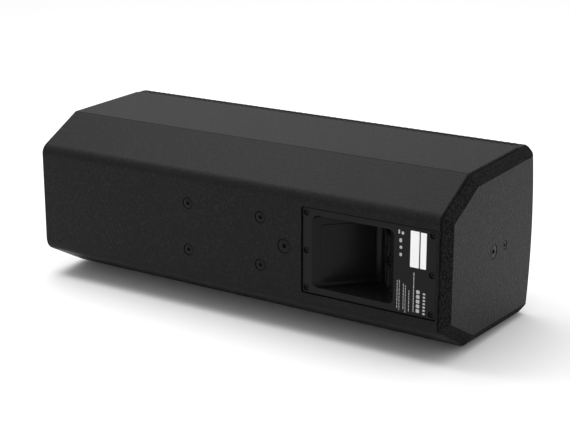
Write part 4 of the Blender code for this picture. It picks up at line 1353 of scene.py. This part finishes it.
def curve_through(points, steps=5):
    """A smooth run through the given points."""
    points = [point(*p) for p in points]
    padded = [2 * points[0] - points[1]] + points + [2 * points[-1] - points[-2]]
    smooth = []
    for a, b, c, d in zip(padded, padded[1:], padded[2:], padded[3:]):
        for i in range(steps):
            t = i / steps
            square, cube = 2 * a - 5 * b + 4 * c - d, 3 * b - a - 3 * c + d
            smooth.append(0.5 * (2 * b + (c - a) * t + square * t**2 + cube * t**3))
    return [(p.x, p.y) for p in smooth + [points[-1]]]


def half_roll(centre, radius, lift, low, high, steps=20):
    """The arc of a roll that stands forwards, between two angles from the outer edge."""
    turns = [math.radians(low + (high - low) * i / steps) for i in range(steps + 1)]
    return [(centre + radius * math.cos(t), lift - radius * math.sin(t)) for t in turns]


def spider_profile():
    """A corrugated ring between the coil and the basket's ledge."""
    waves, thick, level, height, inner, outer = 2, 0.0006, 0.0476, 0.0012, 0.0290, 0.0560
    count = 20 * waves
    radii = [outer + (inner - outer) * i / count for i in range(count + 1)]
    front = [(r, level + height * math.sin(2 * math.pi * waves * i / count)) for i, r in enumerate(radii)]
    back = [(r, y + thick) for r, y in reversed(front)]
    return [(0.0620, level)] + front + [(0.0264, level), (0.0264, level + thick)] + back + [(0.0620, level + thick)]


def surround_profile():
    """A half roll of rubber between the cone's edge and the basket's rim."""
    roll = half_roll(0.0865, 0.0080, -0.0057, 0, 180)
    under = half_roll(0.0865, 0.0072, -0.0054, 180, 0)
    return roll + [(0.0740, -0.0060), (0.0740, -0.0053)] + under + [(0.0990, -0.0053), (0.0990, -0.0060)]


def bend_between(piece, moving, axis_x, inner, outer):
    """Makes a ring follow the cone at its inner edge and the cabinet at its outer edge, and bend in between."""
    axis = Vector((axis_x, 0, CENTRE))
    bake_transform(piece, "cabinet", moving, start=axis + Vector((outer, 0, 0)), end=axis + Vector((inner, 0, 0)))
    for vert, share_of in zip(piece.data.vertices, piece.data.attributes["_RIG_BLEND"].data):
        reach = math.hypot(vert.co.x - axis.x, vert.co.z - axis.z)
        t = min(max((outer - reach) / (outer - inner), 0), 1)
        share_of.value = t * t * (3 - 2 * t)


class LOUDSPEAKER_OT_woofers(bpy.types.Operator):
    """Make both woofers: basket, magnet, coil, cone, dust cap, and the surround and spider that bend with the cone"""

    bl_idname = "loudspeaker.woofers"
    bl_label = "Woofers"

    def execute(self, context):
        for side, _ in SIDES:
            x = middle(f"woofer_yoke_{side}").x
            place = CABINET @ Matrix.Translation((x, -BAFFLE_FACE, 0))
            for part, (profile, slot, moves) in self.parts().items():
                node = f"woofer_{part}_{side}"
                cuts = [self.windows()] if part == "basket" else ()
                joins = [self.ribs()] if part == "cone" else ()
                add_piece(f"{node}_finished", turned(profile, 72), finish(slot), f"cone_{side}" if moves else "cabinet",
                          place, (node,), slot, 35, cuts, joins)
            for part, profile, slot, inner, outer in (
                ("surround", surround_profile(), "surround_rubber", 0.0775, 0.0945),
                ("spider", spider_profile(), "spider_cloth", 0.0290, 0.0560),
            ):
                node = f"woofer_{part}_{side}"
                piece = add_piece(f"{node}_finished", turned(profile, 72), finish(slot), None, place, (node,), slot, 50)
                bend_between(piece, f"cone_{side}", x, inner, outer)
        return {"FINISHED"}

    def parts(self):
        """Each turned part: its profile, its finish, and whether it moves."""
        basket = [(0.104, -0.005), (0.104, -0.0003), (0.0922, -0.0003), (0.0922, 0.008), (0.070, 0.046),
                  (0.070, 0.062), (0.058, 0.066), (0.030, 0.066), (0.030, 0.062), (0.057, 0.060), (0.057, 0.049),
                  (0.063, 0.049), (0.066, 0.045), (0.0885, 0.006), (0.0925, -0.005)]
        top_plate = [(0.027, 0.0663), (0.050, 0.0663), (0.050, 0.0743), (0.027, 0.0743)]
        magnet = [(0.032, 0.0746), (0.055, 0.0746), (0.055, 0.0920), (0.032, 0.0920)]
        yoke = [(0, 0.064), (0.0244, 0.064), (0.0244, 0.0923), (0.052, 0.0923), (0.052, 0.100), (0, 0.100)]
        coil = [(0.0252, 0.0365), (0.0260, 0.0365), (0.0260, 0.080), (0.0252, 0.080)]
        cone = curve_through([(0.0775, -0.0049), (0.060, 0.0090), (0.042, 0.0250), (0.0263, 0.0380)])
        cone += curve_through([(0.0263, 0.0395), (0.042, 0.0265), (0.060, 0.0103), (0.0775, -0.0036)])
        dust_cap = [(0.0300, 0.0335)] + curve_through([(0.0285, 0.0335), (0.020, 0.0268), (0.010, 0.0235), (0, 0.0225)])
        dust_cap += curve_through([(0, 0.0215), (0.010, 0.0225), (0.020, 0.0257), (0.0300, 0.0325)])
        return {
            "basket": (softened(basket, 0.0009), "driver_casting", False),
            "top_plate": (softened(top_plate, 0.0008), "plated_steel", False),
            "magnet": (softened(magnet, 0.0012), "ferrite", False),
            "yoke": (softened(yoke, 0.0010), "plated_steel", False),
            "voice_coil": (coil, "coil_copper", True),
            "cone": (cone, "cone_paper", True),
            "dust_cap": (dust_cap, "cone_paper", True),
        }

    def windows(self):
        """Six wedges that open the sides of a basket between its spokes."""
        count, size, reach, behind = 6, (0.060, 0.030, 0.052), 0.082, 0.028
        bm = bmesh.new()
        for i in range(count):
            made = bmesh.ops.create_cube(bm, size=1)["verts"]
            bmesh.ops.scale(bm, vec=size, verts=made)
            bmesh.ops.translate(bm, vec=(reach, behind, 0), verts=made)
            turn = Matrix.Rotation(2 * math.pi * (i + 0.5) / count, 4, "Y")
            bmesh.ops.rotate(bm, matrix=turn, cent=(0, 0, 0), verts=made)
        bmesh.ops.bevel(bm, geom=bm.edges[:], offset=0.005, segments=4, profile=0.5, affect="EDGES", material=-1)
        return bm

    def ribs(self):
        """Two low stiffening rings pressed into the front of a cone."""
        rings = []
        for radius, behind in ((0.066, 0.0046), (0.053, 0.0156)):
            steps, half = 10, 0.0006
            turns = [2 * math.pi * i / steps for i in range(steps)]
            rings.append(turned([(radius + half * math.cos(t), behind + half * math.sin(t)) for t in turns], 72))
        return joined(rings)


class LOUDSPEAKER_OT_horn(bpy.types.Operator):
    """Make the horn and the compression driver behind it"""

    bl_idname = "loudspeaker.horn"
    bl_label = "Horn and driver"

    throat, reach, wall = 0.0127, 0.095, 0.003
    mouth, flange = (0.078, 0.072), (0.098, 0.098)

    def execute(self, context):
        place = CABINET @ Matrix.Translation((0, -BAFFLE_FACE, 0))
        steps = 12
        shares = [1 - i / steps for i in range(steps + 1)]
        face, gap = -0.0043, 0.0003
        lip = 0.0016
        inner = [self.flare(1, lip * (1 - math.sin(t)), face + lip * (1 - math.cos(t)))
                 for t in (math.pi / 2 * i / 4 for i in range(4))]
        inner += [self.flare(s, 0, max(self.reach * (1 - s), face + lip)) for s in shares]
        outer = [self.flare(s, self.wall, self.reach * (1 - s)) for s in shares[::-1][1:-1]]
        outer.append(self.flare(1, self.wall, -gap))
        seat = [[(x, y, z) for x, z, y in ring(0.030, y, 96)] for y in (self.reach, self.reach - 0.005)]
        grow = self.flange[0] - self.mouth[0]
        edge = 0.0010
        rim = [self.flare(1, grow, -gap), self.flare(1, grow, face + edge)]
        rim += [self.flare(1, grow - edge * 0.3, face + edge * 0.3), self.flare(1, grow - edge, face)]
        loops = [self.lined_up(loop) for loop in inner + seat + outer + rim]
        add_piece("horn_moulded", sweep(loops + loops[:1], ends=False), finish("moulded_plastic"), matrix=place,
                  replaces=("horn",), slot="moulded_plastic", crease=30)
        start = self.reach + gap
        motor = [(self.throat, start), (0.045, start), (0.045, 0.118), (self.throat, 0.118)]
        cover = [(0.045, 0.1183), (0.045, 0.136), (0.041, 0.140), (0, 0.140), (0, 0.133), (0.033, 0.131)]
        cover.append((0.033, 0.1183))
        dome = curve_through([(0.0220, 0.1200), (0.0150, 0.1245), (0.0080, 0.1270), (0, 0.1278)])
        skin = curve_through([(0, 0.1284), (0.0080, 0.1276), (0.0150, 0.1251), (0.0222, 0.1206)])
        for part, profile, slot, body in (
            ("motor", softened(motor, 0.0012), "ferrite", "cabinet"),
            ("cover", softened(cover, 0.0012), "driver_casting", "cabinet"),
            ("diaphragm", [(0.0300, 0.1200)] + dome + skin + [(0.0300, 0.1206)], "diaphragm_metal", "diaphragm"),
        ):
            node = f"driver_{part}"
            add_piece(f"{node}_finished", turned(profile, 72), finish(slot), body, place, (node,), slot, 35)
        return {"FINISHED"}

    def flare(self, share_open, grow, y, steps=96):
        """A section of the flare: a circle at the throat (share 0), a rounded rectangle at the mouth (share 1)."""
        power = 2 + 6 * share_open
        widths = [self.throat + (half - self.throat) * share_open**1.6 + grow for half in self.mouth]
        points = []
        for i in range(steps):
            turn = 2 * math.pi * i / steps
            c, s = math.cos(turn), math.sin(turn)
            square = (abs(c) ** power + abs(s) ** power) ** (-1 / power)
            points.append((widths[0] * c * square, y, widths[1] * s * square))
        return points

    def lined_up(self, loop):
        """The loop started at its point furthest along +X."""
        first = max(range(len(loop)), key=lambda i: loop[i][0])
        return loop[first:] + loop[:first]


# Stage


class LOUDSPEAKER_OT_stage(bpy.types.Operator):
    """Make the floor, the soft lights and the camera"""

    bl_idname = "loudspeaker.stage"
    bl_label = "Stage"

    def execute(self, context):
        stage = context.scene.loudspeaker_stage
        self.floor(stage)
        self.world(stage)
        self.ceiling(stage.ceiling)
        self.softbox("top softbox", (0.8, -0.3, 1.7), (0, -0.1, 0.1), (1.8, 1.2), stage.top_power)
        self.softbox("key softbox", (0.9, 0.55, 1.7), (-0.1, 0.1, 0.1), (0.5, 0.5), stage.key_power)
        self.camera(context, stage)
        context.scene.view_settings.view_transform = "Standard"
        return {"FINISHED"}

    def floor(self, stage):
        bm = bmesh.new()
        bmesh.ops.create_circle(bm, cap_ends=True, radius=9, segments=96)
        obj = bpy.data.objects.new("floor", mesh_of(bm, "floor"))
        obj.data.materials.append(floor_material(stage.floor))
        bpy.context.scene.collection.objects.link(obj)
        obj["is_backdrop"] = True

    def world(self, stage):
        """Pure white behind the loudspeaker, and slightly dimmer walls all round as its light."""
        world = bpy.data.worlds.new("studio")
        world.use_nodes = True
        tree = world.node_tree
        background = tree.nodes["Background"]
        background.inputs["Color"].default_value = (1, 1, 1, 1)
        seen = add(tree, "LightPath").outputs["Is Camera Ray"]
        tree.links.new(ramp(tree, seen, 0.0, 1.0, stage.world, 1.0), background.inputs["Strength"])
        bpy.context.scene.world = world

    def ceiling(self, strength):
        """A wide diffuse ceiling: the same soft light from above all over the floor."""
        light = bpy.data.lights.new("ceiling", "SUN")
        light.energy = strength
        light.angle = math.radians(60)
        bpy.context.scene.collection.objects.link(bpy.data.objects.new("ceiling", light))

    def softbox(self, name, at, target, size, power):
        light = bpy.data.lights.new(name, "AREA")
        light.shape = "RECTANGLE"
        light.size, light.size_y = size
        light.energy = power
        obj = bpy.data.objects.new(name, light)
        obj.location = at
        obj.rotation_euler = (Vector(target) - Vector(at)).to_track_quat("-Z", "Y").to_euler()
        bpy.context.scene.collection.objects.link(obj)

    def camera(self, context, stage):
        """A long lens from behind, over the end with the connectors, aimed close to the middle of the cabinet."""
        low, high = CAD_BOX
        aim = (low + high) / 2 + Vector((-0.0102, -0.0065, -0.0041))
        a, e = stage.azimuth, stage.elevation
        back = Vector((math.sin(a) * math.cos(e), -math.cos(a) * math.cos(e), math.sin(e)))
        data = bpy.data.cameras.new("camera")
        data.lens = stage.lens
        data.sensor_width = 36
        obj = bpy.data.objects.new("camera", data)
        obj.location = aim + back * stage.distance
        obj.rotation_euler = (-back).to_track_quat("-Z", "Y").to_euler()
        context.scene.collection.objects.link(obj)
        context.scene.camera = obj


class LOUDSPEAKER_PT_sidebar(bpy.types.Panel):
    """Lists the settings and the pieces"""

    bl_label = "Loudspeaker"
    bl_idname = "LOUDSPEAKER_PT_sidebar"
    bl_space_type = "VIEW_3D"
    bl_region_type = "UI"
    bl_category = "Loudspeaker"

    def draw(self, context):
        for operator in OPERATORS:
            self.layout.operator(operator.bl_idname)
        for name, settings in SETTINGS.items():
            box = self.layout.box()
            for key in settings.__annotations__:
                box.prop(getattr(context.scene, name), key)


SETTINGS = {
    "loudspeaker_cabinet": CabinetSettings,
    "loudspeaker_grille": GrilleSettings,
    "loudspeaker_panel": PanelSettings,
    "loudspeaker_stage": StageSettings,
}
OPERATORS = (
    LOUDSPEAKER_OT_finishes,
    LOUDSPEAKER_OT_shell,
    LOUDSPEAKER_OT_end_caps,
    LOUDSPEAKER_OT_grille,
    LOUDSPEAKER_OT_panel,
    LOUDSPEAKER_OT_sockets,
    LOUDSPEAKER_OT_fasteners,
    LOUDSPEAKER_OT_woofers,
    LOUDSPEAKER_OT_horn,
    LOUDSPEAKER_OT_stage,
)


def register():
    for cls in (*SETTINGS.values(), *OPERATORS, LOUDSPEAKER_PT_sidebar):
        bpy.utils.register_class(cls)
    for name, settings in SETTINGS.items():
        setattr(bpy.types.Scene, name, PointerProperty(type=settings))


def unregister():
    for name in SETTINGS:
        delattr(bpy.types.Scene, name)
    for cls in reversed((*SETTINGS.values(), *OPERATORS, LOUDSPEAKER_PT_sidebar)):
        bpy.utils.unregister_class(cls)


def main():
    register()
    for operator in OPERATORS:
        module, name = operator.bl_idname.split(".")
        getattr(getattr(bpy.ops, module), name)()
    sizes = {"cad": CAD_BOX, "visual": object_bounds()}
    {name: [list(corner) for corner in box] for name, box in sizes.items()}


if __name__ == "__main__":
    main()
